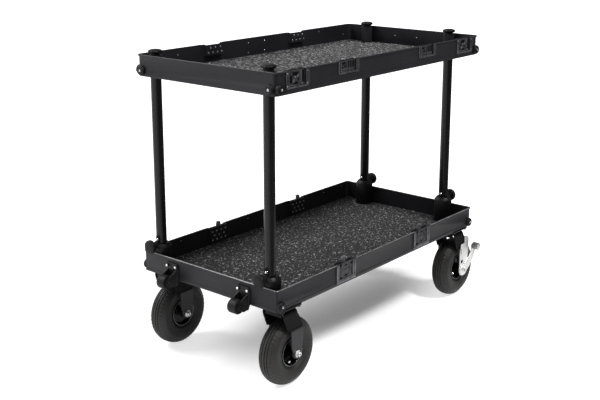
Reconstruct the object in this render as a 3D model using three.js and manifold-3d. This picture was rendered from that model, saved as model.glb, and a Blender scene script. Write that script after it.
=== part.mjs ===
// Camera cart: two trays on four poles, four swivel casters, millimetres, +Z up.
// The left end (-X) carries the load rollers, the right end (+X) the braked casters.
// Front is the long side at -Y. Every position is written from the middle of the trays
// and the floor; the last lines move the whole cart so that its box is centred.

import * as THREE from 'three';
import { mergeVertices } from 'three/addons/utils/BufferGeometryUtils.js';
import Module from 'manifold-3d';

const wasm = await Module();
wasm.setup();

// Clearances
const runGap = 0.3; // between two pieces that turn, slide or bolt together
const slideGap = 0.4; // radial, pole in socket and in collar
const linerGap = 0.8; // carpet to wall and to what it is cut round
const beadGap = 0.7; // radial, rim to the faceted bead of the tyre
const hubGap = 2; // hub end to fork leg
const keyGap = 0.6; // hook slot to the pin of the wing

// Wheels
const wheelRadius = 120.5;
const tyreHalf = 38.5;
const beadRadius = 51;
const beadHalf = 24;
const flangeHalf = 27;
const rimWall = 4;
const webDrop = 7; // bead seat to the edge of the web
const webThick = 8;
const webOut = 6;
const hubRadius = 17;
const valveDrop = 15; // bead seat to the valve
const valveRadius = 3.6;
const valveReach = 26;
const rightValveTurn = 215; // degrees round the wheel
const leftValveTurn = 321;

// Forks, swivels and axles
const swivelEndInset = 76.5; // insets are from the outer edge of the rim
const swivelSideInset = 56;
const trail = 32.5;
const tyreSide = 7.5; // tyre to fork leg
const wheelClear = 36; // tyre to crown
const legThick = 5;
const legHalfTop = 30;
const legRound = 29;
const legShoulder = 12;
const crownThick = 6;
const plateLong = 114;
const plateWide = 102;
const plateCorner = 8;
const plateThick = 5;
const plateBoltInset = 10;
const plateBoltRadius = 7.5;
const plateBoltHead = 6;
const raceRadius = 33;
const raceHeight = 11;
const kingRadius = 9;
const kingHead = 7;
const kingFlange = 5;
const axleRadius = 8;
const axleOver = 4;
const nutRadius = 13;
const nutThick = 8;

// Brake on the right casters: a strip bolted to the fork and a pedal lever
const brakeThick = 3;
const stripLeft = 27;
const stripRight = 38;
const stripRound = 30;
const stripBelowCrown = 16.5;
const lugLeft = 22;
const lugRight = 5;
const lugHeight = 24;
const lugBelowCrown = 22.5;
const lugProud = 5;
const spotRadius = 4;
const spotRise = 36;
const leverRound = 28;
const pedalX = 70;
const pedalZ = 84;
const pedalReach = 27;
const pedalRadius = 14;
const pedalEdge = 2;

// Trays
const trayLength = 1220;
const trayWidth = 644;
const sheet = 2.5;
const lipOut = 3.5; // the rim stands this far out of the wall
const lipHeight = 5;
const bandOut = 1;
const bandHeight = 12;
const lowerHeight = 78;
const lowerCorner = 7;
const deckSpace = 636.5; // lower rim to the floor of the upper tray
const upperHeight = 75;
const upperCorner = 15;
const carpet = 5;

// Poles, sockets and collars
const poleRadius = 19.05;
const poleWall = 2;
const poleEdge = 0.8;
const leftPoleEndInset = 35.4;
const leftPoleSideInset = 60.5;
const rightPoleEndInset = 31.4;
const rightPoleSideInset = 118.3;
const plugDepth = 34;
const collarWall = 3;
const collarDrop = 2.5; // collar top to rim
const capThick = 3;
const socketWall = 16.5;
const neckWall = 7.5;
const shoulderRise = 20; // lower rim to the shoulder of the socket
const neckRise = 12;
const bossWall = 7.2;
const bossProud = 4;

// Hand knobs
const clampRimGap = 2; // lower rim to the head of the clamp knob
const clampRadius = 25;
const clampHead = 20;
const clampNeck = 6;
const clampStud = 5;
const knobRadius = 25;
const knobHeight = 22;
const knobStud = 6;
const knobStudLength = 30;

// Snap buttons
const buttonRise = 14; // socket to button
const buttonRadius = 5.5;
const buttonProud = 3.6;
const buttonFlange = 2;

// Load rollers on the left end
const rollerSideInset = 150;
const rollerOut = 39.2; // wall to pin
const rollerDrop = 48; // bolts to pin
const rollerRadius = 25;
const rollerHalf = 18;
const rollerEdge = 5;
const rollerPin = 5;
const pinHead = 8;
const pinHeadThick = 3;
const earThick = 3;
const earRound = 15;
const bracketThick = 3;
const bracketOver = 12; // bolts to the top of the bracket
const bracketUnder = 22; // pin to its lower edge
const bracketWing = 10;
const rollerBoltRise = 49; // tray floor to bolts
const rollerBoltStep = 42;
const rollerBoltRadius = 6.5;
const rollerBoltHead = 5;

// Case latches
const latchX = 240;
const flangeSide = 14;
const dishCorner = 5;
const dishLedge = 4;
const pocketHalf = 42;
const pocketDepth = 14;
const lowerDishRise = 14; // tray floor to dish
const wingRise = 33; // dish to wing
const wingLong = 42;
const wingHigh = 26;
const wingThick = 3;
const wingInset = 1.5;
const wingBoss = 13;
const wingPin = 3;
const hookHalf = 12;
const hookThick = 3;
const hookOver = 18; // above the rim
const hookTail = 16;
const hookNose = 6;
const hookTravel = 6;
const hookCorner = 4;

// Dishes of the upper tray
const upperLatchInset = 105;
const upperLatchRise = 5.5;
const keeperRise = 29.5;

// Corner bumpers
const bumperRadius = 17;
const bumperProud = 12;
const bumperRound = 5;
const bumperInset = 20;
const bumperEndInset = 26;
const lowerBumperRise = 19;
const upperBumperRise = 20.5;

// Heights and places that follow from the sizes
const crownBottom = 2 * wheelRadius + wheelClear;
const crownTop = crownBottom + crownThick;
const plateBottom = crownTop + raceHeight;
const lowerFloor = plateBottom + plateThick;
const lowerRim = lowerFloor + lowerHeight;
const lowerDeck = lowerFloor + sheet;
const upperFloor = lowerRim + deckSpace;
const upperRim = upperFloor + upperHeight;
const upperDeck = upperFloor + sheet;
const wallX = trayLength / 2 - lipOut;
const wallY = trayWidth / 2 - lipOut;
const insideX = wallX - sheet;
const insideY = wallY - sheet;
const poleBore = poleRadius + slideGap;
const collarRadius = poleBore + collarWall;
const collarTop = upperRim - collarDrop;
const socketRadius = poleBore + socketWall;
const socketShoulder = lowerRim + shoulderRise;
const socketTop = socketShoulder + neckRise;
const clampHeight = lowerRim + clampRimGap + clampRadius;
const bossReach = socketRadius + bossProud;
const clampEnd = bossReach + clampNeck + clampHead; // pole axis to the tip of the knob
const buttonHeight = socketTop + buttonRise;
const legInner = tyreHalf + tyreSide;
const legOuter = legInner + legThick;
const wingHeight = lowerFloor + lowerDishRise + wingRise;
const dishHalf = pocketHalf + flangeSide;
const pocketBack = wallY - pocketDepth;

// Joins equal corners, drops flat slivers and turns the faces outward.
function closed(source) {
  const bare = source.clone();
  bare.deleteAttribute('normal');
  bare.deleteAttribute('uv');
  const merged = mergeVertices(bare, 1e-4);
  const at = merged.attributes.position.array;
  const kept = [];
  let volume = 0;
  for (let i = 0; i < merged.index.count; i += 3) {
    const [a, b, c] = [merged.index.array[i], merged.index.array[i + 1], merged.index.array[i + 2]];
    if (a === b || b === c || a === c) continue;
    kept.push(a, b, c);
    const p = new THREE.Vector3(at[3 * a], at[3 * a + 1], at[3 * a + 2]);
    const q = new THREE.Vector3(at[3 * b], at[3 * b + 1], at[3 * b + 2]);
    const r = new THREE.Vector3(at[3 * c], at[3 * c + 1], at[3 * c + 2]);
    volume += p.dot(q.cross(r));
  }
  if (volume < 0) {
    for (let i = 0; i < kept.length; i += 3) {
      [kept[i], kept[i + 1]] = [kept[i + 1], kept[i]];
    }
  }
  merged.setIndex(kept);
  return merged;
}

function solid(geometry) {
  const g = closed(geometry);
  return new wasm.Manifold(new wasm.Mesh({
    numProp: 3,
    vertProperties: new Float32Array(g.attributes.position.array),
    triVerts: new Uint32Array(g.index.array),
  }));
}

function joined(pieces) {
  return pieces.reduce((whole, piece) => whole.add(piece));
}

function geometryOf(body) {
  const mesh = body.simplify(0.01).getMesh();
  const geometry = new THREE.BufferGeometry();
  geometry.setAttribute('position', new THREE.BufferAttribute(new Float32Array(mesh.vertProperties), 3));
  geometry.setIndex(new THREE.BufferAttribute(new Uint32Array(mesh.triVerts), 1));
  return geometry;
}

// Box between two corners.
function block(x0, x1, y0, y1, z0, z1) {
  const g = new THREE.BoxGeometry(Math.abs(x1 - x0), Math.abs(y1 - y0), Math.abs(z1 - z0));
  g.translate((x0 + x1) / 2, (y0 + y1) / 2, (z0 + z1) / 2);
  return solid(g);
}

// Turned piece: profile of [radius, distance along the axis]; dir is the way the distance grows.
function turned(profile, segments, dir, x, y, z) {
  const g = new THREE.LatheGeometry(profile.map(([r, d]) => new THREE.Vector2(r, d)), segments);
  if (dir === '+z') g.rotateX(Math.PI / 2);
  if (dir === '+x') g.rotateZ(-Math.PI / 2);
  if (dir === '-x') g.rotateZ(Math.PI / 2);
  if (dir === '-y') g.rotateX(Math.PI);
  g.translate(x, y, z);
  return solid(g);
}

function rod(radius, from, to, segments, dir, x, y, z) {
  return turned([[0, from], [radius, from], [radius, to], [0, to]], segments, dir, x, y, z);
}

// Rectangle with round corners, centred.
function roundRect(w, d, r) {
  const s = new THREE.Shape();
  s.moveTo(-w / 2 + r, -d / 2);
  s.lineTo(w / 2 - r, -d / 2);
  s.absarc(w / 2 - r, -d / 2 + r, r, -Math.PI / 2, 0, false);
  s.lineTo(w / 2, d / 2 - r);
  s.absarc(w / 2 - r, d / 2 - r, r, 0, Math.PI / 2, false);
  s.lineTo(-w / 2 + r, d / 2);
  s.absarc(-w / 2 + r, d / 2 - r, r, Math.PI / 2, Math.PI, false);
  s.lineTo(-w / 2, -d / 2 + r);
  s.absarc(-w / 2 + r, -d / 2 + r, r, Math.PI, Math.PI * 1.5, false);
  return s;
}

// Flat outline in XY raised from z0 to z1.
function flat(shape, z0, z1, x = 0, y = 0) {
  const g = new THREE.ExtrudeGeometry(shape, { depth: z1 - z0, bevelEnabled: false, curveSegments: 3 });
  g.translate(x, y, z0);
  return solid(g);
}

// Outline in XZ (x right, z up) given thickness from y0 to y1.
function upright(shape, y0, y1, x = 0, z = 0, curveSegments = 6) {
  const depth = Math.abs(y1 - y0);
  const g = new THREE.ExtrudeGeometry(shape, { depth, bevelEnabled: false, curveSegments });
  g.rotateX(Math.PI / 2);
  g.translate(x, Math.max(y0, y1), z);
  return solid(g);
}

// Outline in YZ (y right, z up) given thickness from x0 to x1.
function crosswise(shape, x0, x1, y = 0, z = 0) {
  const depth = Math.abs(x1 - x0);
  const g = new THREE.ExtrudeGeometry(shape, { depth, bevelEnabled: false, curveSegments: 6 });
  g.rotateX(Math.PI / 2);
  g.rotateZ(Math.PI / 2);
  g.translate(Math.min(x0, x1), y, z);
  return solid(g);
}

function outline(points) {
  return new THREE.Shape(points.map(([x, z]) => new THREE.Vector2(x, z)));
}

const materials = {
  trayPaint: { color: '#37373a', roughness: 0.45, metalness: 0.3 },
  carpetLow: { color: '#2c2c2d', roughness: 1, metalness: 0 },
  carpetHigh: { color: '#5a5a5c', roughness: 1, metalness: 0 },
  polePaint: { color: '#232325', roughness: 0.4, metalness: 0.4 },
  blackPlastic: { color: '#1b1b1d', roughness: 0.5, metalness: 0 },
  chrome: { color: '#c9cbce', roughness: 0.15, metalness: 1 },
  zinc: { color: '#d3d4d4', roughness: 0.35, metalness: 1 },
  forkPaint: { color: '#2b2b2d', roughness: 0.45, metalness: 0.3 },
  rimPaint: { color: '#18181a', roughness: 0.5, metalness: 0.3 },
  tyreRubber: { color: '#2a2a2a', roughness: 0.85, metalness: 0 },
  rollerRubber: { color: '#262627', roughness: 0.75, metalness: 0 },
};

const group = new THREE.Group();
group.name = 'camera_cart';

function place(name, body, material) {
  const mesh = new THREE.Mesh(geometryOf(body), new THREE.MeshStandardMaterial(materials[material]));
  mesh.name = name;
  group.add(mesh);
}

// Corners: l and r are the ends, f and b the long sides.
const corners = [
  { name: 'fl', sx: -1, sy: -1 },
  { name: 'fr', sx: 1, sy: -1 },
  { name: 'bl', sx: -1, sy: 1 },
  { name: 'br', sx: 1, sy: 1 },
];
const poleX = (c) => (c.sx < 0 ? leftPoleEndInset - trayLength / 2 : trayLength / 2 - rightPoleEndInset);
const poleY = (c) => c.sy * (trayWidth / 2 - (c.sx < 0 ? leftPoleSideInset : rightPoleSideInset));
const outward = (c) => (c.sx > 0 ? '+x' : '-x');

// Copy for the back of the cart.
function onSide(body, sy) {
  return sy < 0 ? body : body.mirror([0, 1, 0]);
}

// Pan with rolled rim and bottom band.
function pan(z0, height, corner) {
  const z1 = z0 + height;
  const inner = Math.max(corner - sheet, 1);
  const base = flat(roundRect(2 * wallX, 2 * wallY, corner), z0, z0 + sheet);
  const wall = roundRect(2 * wallX, 2 * wallY, corner);
  wall.holes.push(roundRect(2 * insideX, 2 * insideY, inner));
  const lip = roundRect(trayLength, trayWidth, corner + lipOut);
  lip.holes.push(roundRect(2 * insideX, 2 * insideY, inner));
  const band = roundRect(2 * (wallX + bandOut), 2 * (wallY + bandOut), corner + bandOut);
  band.holes.push(roundRect(2 * insideX, 2 * insideY, inner));
  return joined([
    base, flat(wall, z0, z1), flat(lip, z1 - lipHeight, z1), flat(band, z0, z0 + bandHeight),
  ]);
}

// Pressed dish let into a long wall, open at the rim.
function dish(x, sy, z0, z1) {
  const plate = roundRect(2 * dishHalf, z1 - z0, dishCorner);
  const flange = upright(plate, sy * insideY, sy * (trayWidth / 2), x, (z0 + z1) / 2, 2);
  const side = pocketHalf + sheet;
  const tub = block(
    x - side, x + side, sy * (pocketBack - sheet), sy * wallY, z0 + dishLedge, z1 - 1,
  );
  return flange.add(tub);
}

function pocket(x, sy, z0, z1) {
  const through = 5;
  return block(
    x - pocketHalf, x + pocketHalf, sy * pocketBack, sy * (trayWidth / 2 + through),
    z0 + dishLedge + sheet, z1 + through,
  );
}

function bumper(x, y, z, dir) {
  const profile = [
    [0, -sheet], [bumperRadius, -sheet], [bumperRadius, bumperProud - bumperRound + 1],
    [bumperRadius - bumperRound, bumperProud], [0, bumperProud],
  ];
  return turned(profile, 16, dir, x, y, z);
}

function sideBumper(c, z) {
  const x = c.sx * (trayLength / 2 - bumperInset);
  return onSide(bumper(x, -wallY, z, '-y'), c.sy);
}

function endBumper(c, z) {
  const y = c.sy * (trayWidth / 2 - bumperEndInset);
  return bumper(c.sx * wallX, y, z, outward(c));
}

// Lower tray, with no end bumpers behind the load rollers
const lowerDish = lowerFloor + lowerDishRise;
let lowerTray = pan(lowerFloor, lowerHeight, lowerCorner);
for (const c of corners) {
  const x = c.sx * latchX;
  const pin = rod(wingPin + runGap, pocketBack - sheet - 3, wallY, 8, '-y', x, 0, wingHeight);
  lowerTray = lowerTray.add(dish(x, c.sy, lowerDish, lowerRim));
  lowerTray = lowerTray.subtract(pocket(x, c.sy, lowerDish, lowerRim));
  lowerTray = lowerTray.subtract(onSide(pin, c.sy));
  lowerTray = lowerTray.add(sideBumper(c, lowerFloor + lowerBumperRise));
  if (c.sx > 0) {
    lowerTray = lowerTray.add(endBumper(c, lowerFloor + lowerBumperRise));
  }
}
place('lower_tray', lowerTray, 'trayPaint');

// Lower carpet liner, cut round the sockets
const linerX = 2 * (insideX - linerGap);
const linerY = 2 * (insideY - linerGap);
let lowerCarpet = flat(roundRect(linerX, linerY, lowerCorner), lowerDeck, lowerDeck + carpet);
for (const c of corners) {
  const cut = rod(socketRadius + linerGap, -carpet, 2 * carpet, 20, '+z', poleX(c), poleY(c), lowerDeck);
  lowerCarpet = lowerCarpet.subtract(cut);
}
place('lower_carpet', lowerCarpet, 'carpetLow');

// Upper tray with its four collars
let upperTray = pan(upperFloor, upperHeight, upperCorner);
for (const c of corners) {
  const x = poleX(c);
  const y = poleY(c);
  const collar = rod(collarRadius, upperFloor, collarTop, 20, '+z', x, y, 0);
  const bore = rod(poleBore, upperFloor - sheet, collarTop - capThick, 20, '+z', x, y, 0);
  const hole = rod(knobStud + runGap, collarTop - 2 * capThick, collarTop + capThick, 10, '+z', x, y, 0);
  upperTray = upperTray.add(collar).subtract(bore).subtract(hole);
}
const keeperDish = upperFloor + keeperRise;
const upperLatchDish = upperFloor + upperLatchRise;
const upperLatchX = trayLength / 2 - upperLatchInset;
for (const c of corners) {
  const x = c.sx * latchX;
  upperTray = upperTray.add(dish(x, c.sy, keeperDish, upperRim));
  upperTray = upperTray.subtract(pocket(x, c.sy, keeperDish, upperRim));
  if (c.sy < 0) {
    const latch = c.sx * upperLatchX;
    upperTray = upperTray.add(dish(latch, c.sy, upperLatchDish, upperRim));
    upperTray = upperTray.subtract(pocket(latch, c.sy, upperLatchDish, upperRim));
  }
  upperTray = upperTray.add(sideBumper(c, upperFloor + upperBumperRise));
  upperTray = upperTray.add(endBumper(c, upperFloor + upperBumperRise));
}
place('upper_tray', upperTray, 'trayPaint');

// Upper carpet liner, cut round the collars
let upperCarpet = flat(roundRect(linerX, linerY, upperCorner - sheet), upperDeck, upperDeck + carpet);
for (const c of corners) {
  const cut = rod(collarRadius + linerGap, -carpet, 2 * carpet, 20, '+z', poleX(c), poleY(c), upperDeck);
  upperCarpet = upperCarpet.subtract(cut);
}
place('upper_carpet', upperCarpet, 'carpetHigh');

// Poles: tube with a bored plug in the top
const poleFoot = lowerDeck + runGap;
const poleTop = collarTop - capThick - runGap;
const poleInner = poleRadius - poleWall;
for (const c of corners) {
  const bore = knobStud + runGap;
  const profile = [
    [poleInner, poleFoot], [poleRadius, poleFoot], [poleRadius, poleTop - poleEdge],
    [poleRadius - poleEdge, poleTop], [bore, poleTop], [bore, poleTop - plugDepth],
    [poleInner, poleTop - plugDepth], [poleInner, poleFoot],
  ];
  const pole = turned(profile, 20, '+z', poleX(c), poleY(c), 0);
  const window = rod(buttonRadius + runGap, 0, 2 * poleRadius, 10, '-x', poleX(c), poleY(c), buttonHeight);
  place(`pole_${c.name}`, pole.subtract(window), 'polePaint');
}

// Snap buttons, dome ended, with the foot of the leaf spring behind the pole wall
for (const c of corners) {
  const foot = poleInner - 4 * buttonFlange;
  const tip = poleRadius + buttonProud;
  const profile = [
    [0, foot], [buttonRadius + buttonFlange, foot], [buttonRadius + buttonFlange, foot + buttonFlange],
    [buttonRadius, foot + buttonFlange], [buttonRadius, tip - 2.5], [buttonRadius - 2, tip - 0.6], [0, tip],
  ];
  place(`snap_button_${c.name}`, turned(profile, 10, '-x', poleX(c), poleY(c), buttonHeight), 'chrome');
}

// Pole sockets: round foot with a sloping shoulder, flat where it meets the end wall
for (const c of corners) {
  const x = poleX(c);
  const y = poleY(c);
  const past = 2 * socketRadius;
  const neck = poleBore + neckWall;
  const profile = [
    [poleBore, lowerDeck], [socketRadius, lowerDeck], [socketRadius, socketShoulder], [neck, socketTop],
    [poleBore, socketTop], [poleBore, lowerDeck],
  ];
  const wallFace = c.sx * (insideX - runGap);
  const beyond = c.sx * (insideX + past);
  const studBore = clampStud + runGap;
  const boss = rod(studBore + bossWall, poleBore - 2, bossReach, 14, outward(c), x, y, clampHeight);
  const mainBore = rod(poleBore, lowerDeck - sheet, buttonHeight, 20, '+z', x, y, 0);
  const stud = rod(studBore, 0, 2 * bossReach, 10, outward(c), x, y, clampHeight);
  let socket = turned(profile, 20, '+z', x, y, 0);
  socket = socket.subtract(block(wallFace, beyond, y - past, y + past, lowerDeck - sheet, buttonHeight));
  socket = socket.add(boss);
  socket = socket.subtract(block(wallFace, beyond, y - past, y + past, lowerDeck, lowerRim + runGap));
  place(`pole_socket_${c.name}`, socket.subtract(mainBore).subtract(stud), 'blackPlastic');
}

// Clamp knobs with stud
for (const c of corners) {
  const headBack = clampEnd - clampHead;
  const neckBack = bossReach + runGap;
  const tip = poleRadius + runGap;
  const profile = [
    [0, tip], [clampStud, tip], [clampStud, neckBack], [2 * clampStud + 1, neckBack],
    [2 * clampStud + 2, headBack], [clampRadius - 5, headBack], [clampRadius, headBack + 5],
    [clampRadius - 2, clampEnd - 6], [clampRadius - 8, clampEnd - 1.2], [0, clampEnd],
  ];
  const knob = turned(profile, 18, outward(c), poleX(c), poleY(c), clampHeight);
  place(`clamp_knob_${c.name}`, knob, 'blackPlastic');
}

// Top knobs with stud
for (const c of corners) {
  const base = collarTop + runGap;
  const profile = [
    [0, base - knobStudLength], [knobStud, base - knobStudLength], [knobStud, base], [knobRadius - 4, base],
    [knobRadius, base + 5], [knobRadius - 2, base + knobHeight - 8], [knobRadius - 9, base + knobHeight - 2],
    [0, base + knobHeight],
  ];
  place(`top_knob_${c.name}`, turned(profile, 18, '+z', poleX(c), poleY(c), 0), 'blackPlastic');
}

// Casters
function hexagon(r) {
  const points = [];
  for (let k = 0; k < 6; k += 1) {
    const a = (k * Math.PI) / 3;
    points.push([r * Math.cos(a), r * Math.sin(a)]);
  }
  return outline(points);
}

// Top plate with four bolts, ball race and kingpin
function casterPlate(x, y) {
  let plate = flat(roundRect(plateWide, plateLong, plateCorner), plateBottom, lowerFloor, x, y);
  const race = [
    [0, crownTop], [raceRadius - 3, crownTop], [raceRadius, crownTop + 3],
    [raceRadius - 2, plateBottom + 1], [0, plateBottom + 1],
  ];
  plate = plate.add(turned(race, 16, '+z', x, y, 0));
  const head = kingRadius + kingFlange;
  const pin = [
    [0, crownBottom - kingHead], [head, crownBottom - kingHead], [head, crownBottom - runGap],
    [kingRadius, crownBottom - runGap], [kingRadius, crownTop + 1], [0, crownTop + 1],
  ];
  plate = plate.add(turned(pin, 12, '+z', x, y, 0));
  for (const [bx, by] of [[-1, -1], [1, -1], [-1, 1], [1, 1]]) {
    const px = x + bx * (plateWide / 2 - plateBoltInset);
    const py = y + by * (plateLong / 2 - plateBoltInset);
    plate = plate.add(flat(hexagon(plateBoltRadius), plateBottom - plateBoltHead, plateBottom + 1, px, py));
  }
  return plate;
}

// Fork: crown and two legs that lean back to the axle
function casterFork(c, x, y) {
  const legTop = crownTop - runGap;
  const shoulder = crownBottom - legShoulder;
  const lean = Math.atan2(trail, crownTop - wheelRadius);
  const leg = new THREE.Shape();
  leg.moveTo(-legHalfTop, legTop);
  leg.lineTo(-legHalfTop, shoulder);
  leg.lineTo(trail - legRound * Math.cos(lean), wheelRadius + legRound * Math.sin(lean) * 0.6);
  leg.absarc(trail, wheelRadius, legRound, Math.PI, 2 * Math.PI, false);
  leg.lineTo(trail + legRound * Math.cos(lean * 0.4), wheelRadius + legRound * 0.2);
  leg.lineTo(legHalfTop, shoulder);
  leg.lineTo(legHalfTop, legTop);
  let fork = block(x - legHalfTop, x + legHalfTop, y - legOuter, y + legOuter, crownBottom, legTop);
  for (const s of [-1, 1]) {
    fork = fork.add(upright(leg, y + s * legInner, y + s * legOuter, x, 0));
  }
  if (c.sx > 0) {
    const lugEnd = legOuter + brakeThick + lugProud;
    const lugTop = crownBottom - lugBelowCrown;
    fork = fork.add(block(
      x + trail - lugLeft, x + trail + lugRight, y + c.sy * legInner, y + c.sy * lugEnd,
      lugTop - lugHeight, lugTop,
    ));
  }
  const kingHole = rod(kingRadius + slideGap, crownBottom - 5, crownTop + 5, 12, '+z', x, y, 0);
  const axleHole = rod(axleRadius + runGap, -2 * legOuter, 2 * legOuter, 12, '-y', x + trail, y, wheelRadius);
  return fork.subtract(kingHole).subtract(axleHole);
}

// Axle bolt with its head and nut; the nut clamps the brake where there is one
function casterAxle(wheelX, braked) {
  const clampFace = braked ? legOuter + 2 * brakeThick + runGap : legOuter;
  const inEnd = legOuter + nutThick;
  const outEnd = clampFace + nutThick;
  const bolt = rod(axleRadius, -inEnd, outEnd + axleOver, 12, '-y', wheelX, 0, wheelRadius);
  const nut = upright(hexagon(nutRadius), -clampFace - runGap, -outEnd, wheelX, wheelRadius);
  const head = upright(hexagon(nutRadius), legOuter + runGap, inEnd, wheelX, wheelRadius);
  return joined([bolt, nut, head]);
}

// Rim: hub, dished web and bead seats, with the valve stem
function casterRim(wheelX, valveTurn) {
  const bore = axleRadius + slideGap;
  const hub = legInner - hubGap;
  const web = beadRadius - webDrop;
  const seatInner = beadRadius - rimWall;
  const seat = beadRadius - beadGap;
  const profile = [
    [bore, -hub], [hubRadius, -hub], [hubRadius, -webOut - webThick], [web, -webOut - webThick],
    [seatInner, -flangeHalf], [seat, -flangeHalf], [seat, flangeHalf], [seatInner, flangeHalf],
    [web, -webOut], [hubRadius, -webOut], [hubRadius, hub], [bore, hub], [bore, -hub],
  ];
  const rim = turned(profile, 20, '-y', wheelX, 0, wheelRadius);
  const turn = THREE.MathUtils.degToRad(valveTurn);
  const valveX = wheelX + (beadRadius - valveDrop) * Math.cos(turn);
  const valveZ = wheelRadius + (beadRadius - valveDrop) * Math.sin(turn);
  return rim.add(rod(valveRadius, -webOut - 1, valveReach, 8, '-y', valveX, 0, valveZ));
}

// Tyre section as shares of its height over the bead and of its half width
function casterTyre(wheelX, y) {
  const high = (share) => beadRadius + share * (wheelRadius - beadRadius);
  const wide = (share) => share * tyreHalf;
  const half = [
    [beadRadius, beadHalf], [high(0.115), wide(0.844)], [high(0.288), wide(0.948)], [high(0.489), tyreHalf],
    [high(0.69), wide(0.922)], [high(0.878), wide(0.636)], [wheelRadius, wide(0.234)],
  ];
  const far = [...half].reverse().map(([r, d]) => [r, -d]);
  return turned([...half, ...far, half[0]], 28, '-y', wheelX, y, wheelRadius);
}

// Brake strip: hangs from the lug of the fork and is clamped at the axle
function brakeStrip(wheelX) {
  const axleDrop = crownBottom - wheelRadius;
  const top = axleDrop - stripBelowCrown;
  const lugTop = axleDrop - lugBelowCrown;
  const lugLow = lugTop - lugHeight - runGap;
  const strip = new THREE.Shape();
  strip.moveTo(-stripLeft, 0.42 * axleDrop);
  strip.lineTo(-stripLeft - 1, 10);
  strip.absarc(0, 0, stripRound, Math.PI * 0.92, Math.PI * 2.1, false);
  strip.lineTo(stripRight - 2, 0.38 * axleDrop);
  strip.lineTo(stripRight, top - 16);
  strip.lineTo(stripRight - 10, top - 4);
  strip.lineTo(lugRight + runGap, top);
  strip.lineTo(lugRight + runGap, lugLow);
  strip.lineTo(-lugLeft + 1, lugLow);
  const spot = rod(spotRadius, 0, 4 * legOuter, 8, '-y', wheelX - spotRadius, 0, wheelRadius + spotRise);
  return upright(strip, -legOuter, -legOuter - brakeThick, wheelX, wheelRadius, 8).subtract(spot);
}

// Brake lever: turns on the axle in front of the strip, with the foot pedal across its end
function brakeLever(wheelX) {
  const face = legOuter + brakeThick + runGap;
  const end = face + brakeThick + pedalReach;
  const lever = new THREE.Shape();
  lever.moveTo(-leverRound + 1, 6);
  lever.absarc(0, 0, leverRound, Math.PI * 0.93, Math.PI * 1.85, false);
  lever.lineTo(pedalX - 24, 0);
  lever.lineTo(pedalX + 4, pedalZ - 54);
  lever.lineTo(pedalX + 18, pedalZ - 26);
  lever.lineTo(pedalX + 16, pedalZ);
  lever.lineTo(pedalX + 2, pedalZ + 14);
  lever.lineTo(pedalX - 14, pedalZ + 6);
  lever.lineTo(pedalX - 10, pedalZ - 16);
  lever.lineTo(pedalX - 26, pedalZ - 38);
  lever.lineTo(pedalX - 56, pedalZ - 58);
  const arm = upright(lever, -face, -face - brakeThick, wheelX, wheelRadius, 8);
  const pedal = [
    [0, face + 1], [pedalRadius - pedalEdge, face + 1], [pedalRadius, face + 6], [pedalRadius, face + 13],
    [pedalRadius - pedalEdge, face + 15], [pedalRadius, face + 17], [pedalRadius, end - pedalEdge],
    [pedalRadius - pedalEdge, end], [0, end],
  ];
  return arm.add(turned(pedal, 14, '-y', wheelX + pedalX, 0, wheelRadius + pedalZ));
}

for (const c of corners) {
  const x = c.sx * (trayLength / 2 - swivelEndInset);
  const y = c.sy * (trayWidth / 2 - swivelSideInset);
  const wheelX = x + trail;
  const braked = c.sx > 0;
  const axle = casterAxle(wheelX, braked);
  const rim = casterRim(wheelX, braked ? rightValveTurn : leftValveTurn);
  place(`caster_plate_${c.name}`, casterPlate(x, y), 'forkPaint');
  place(`caster_fork_${c.name}`, casterFork(c, x, y), 'forkPaint');
  place(`caster_axle_${c.name}`, onSide(axle, c.sy).translate([0, y, 0]), 'zinc');
  place(`caster_rim_${c.name}`, onSide(rim, c.sy).translate([0, y, 0]), 'rimPaint');
  place(`caster_tyre_${c.name}`, casterTyre(wheelX, y), 'tyreRubber');
  if (braked) {
    const hole = rod(axleRadius + runGap, 0, 4 * legOuter, 12, '-y', wheelX, 0, wheelRadius);
    const strip = onSide(brakeStrip(wheelX).subtract(hole), c.sy);
    const lever = onSide(brakeLever(wheelX).subtract(hole), c.sy);
    place(`brake_plate_${c.name}`, strip.translate([0, y, 0]), 'zinc');
    place(`brake_lever_${c.name}`, lever.translate([0, y, 0]), 'zinc');
  }
}

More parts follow.
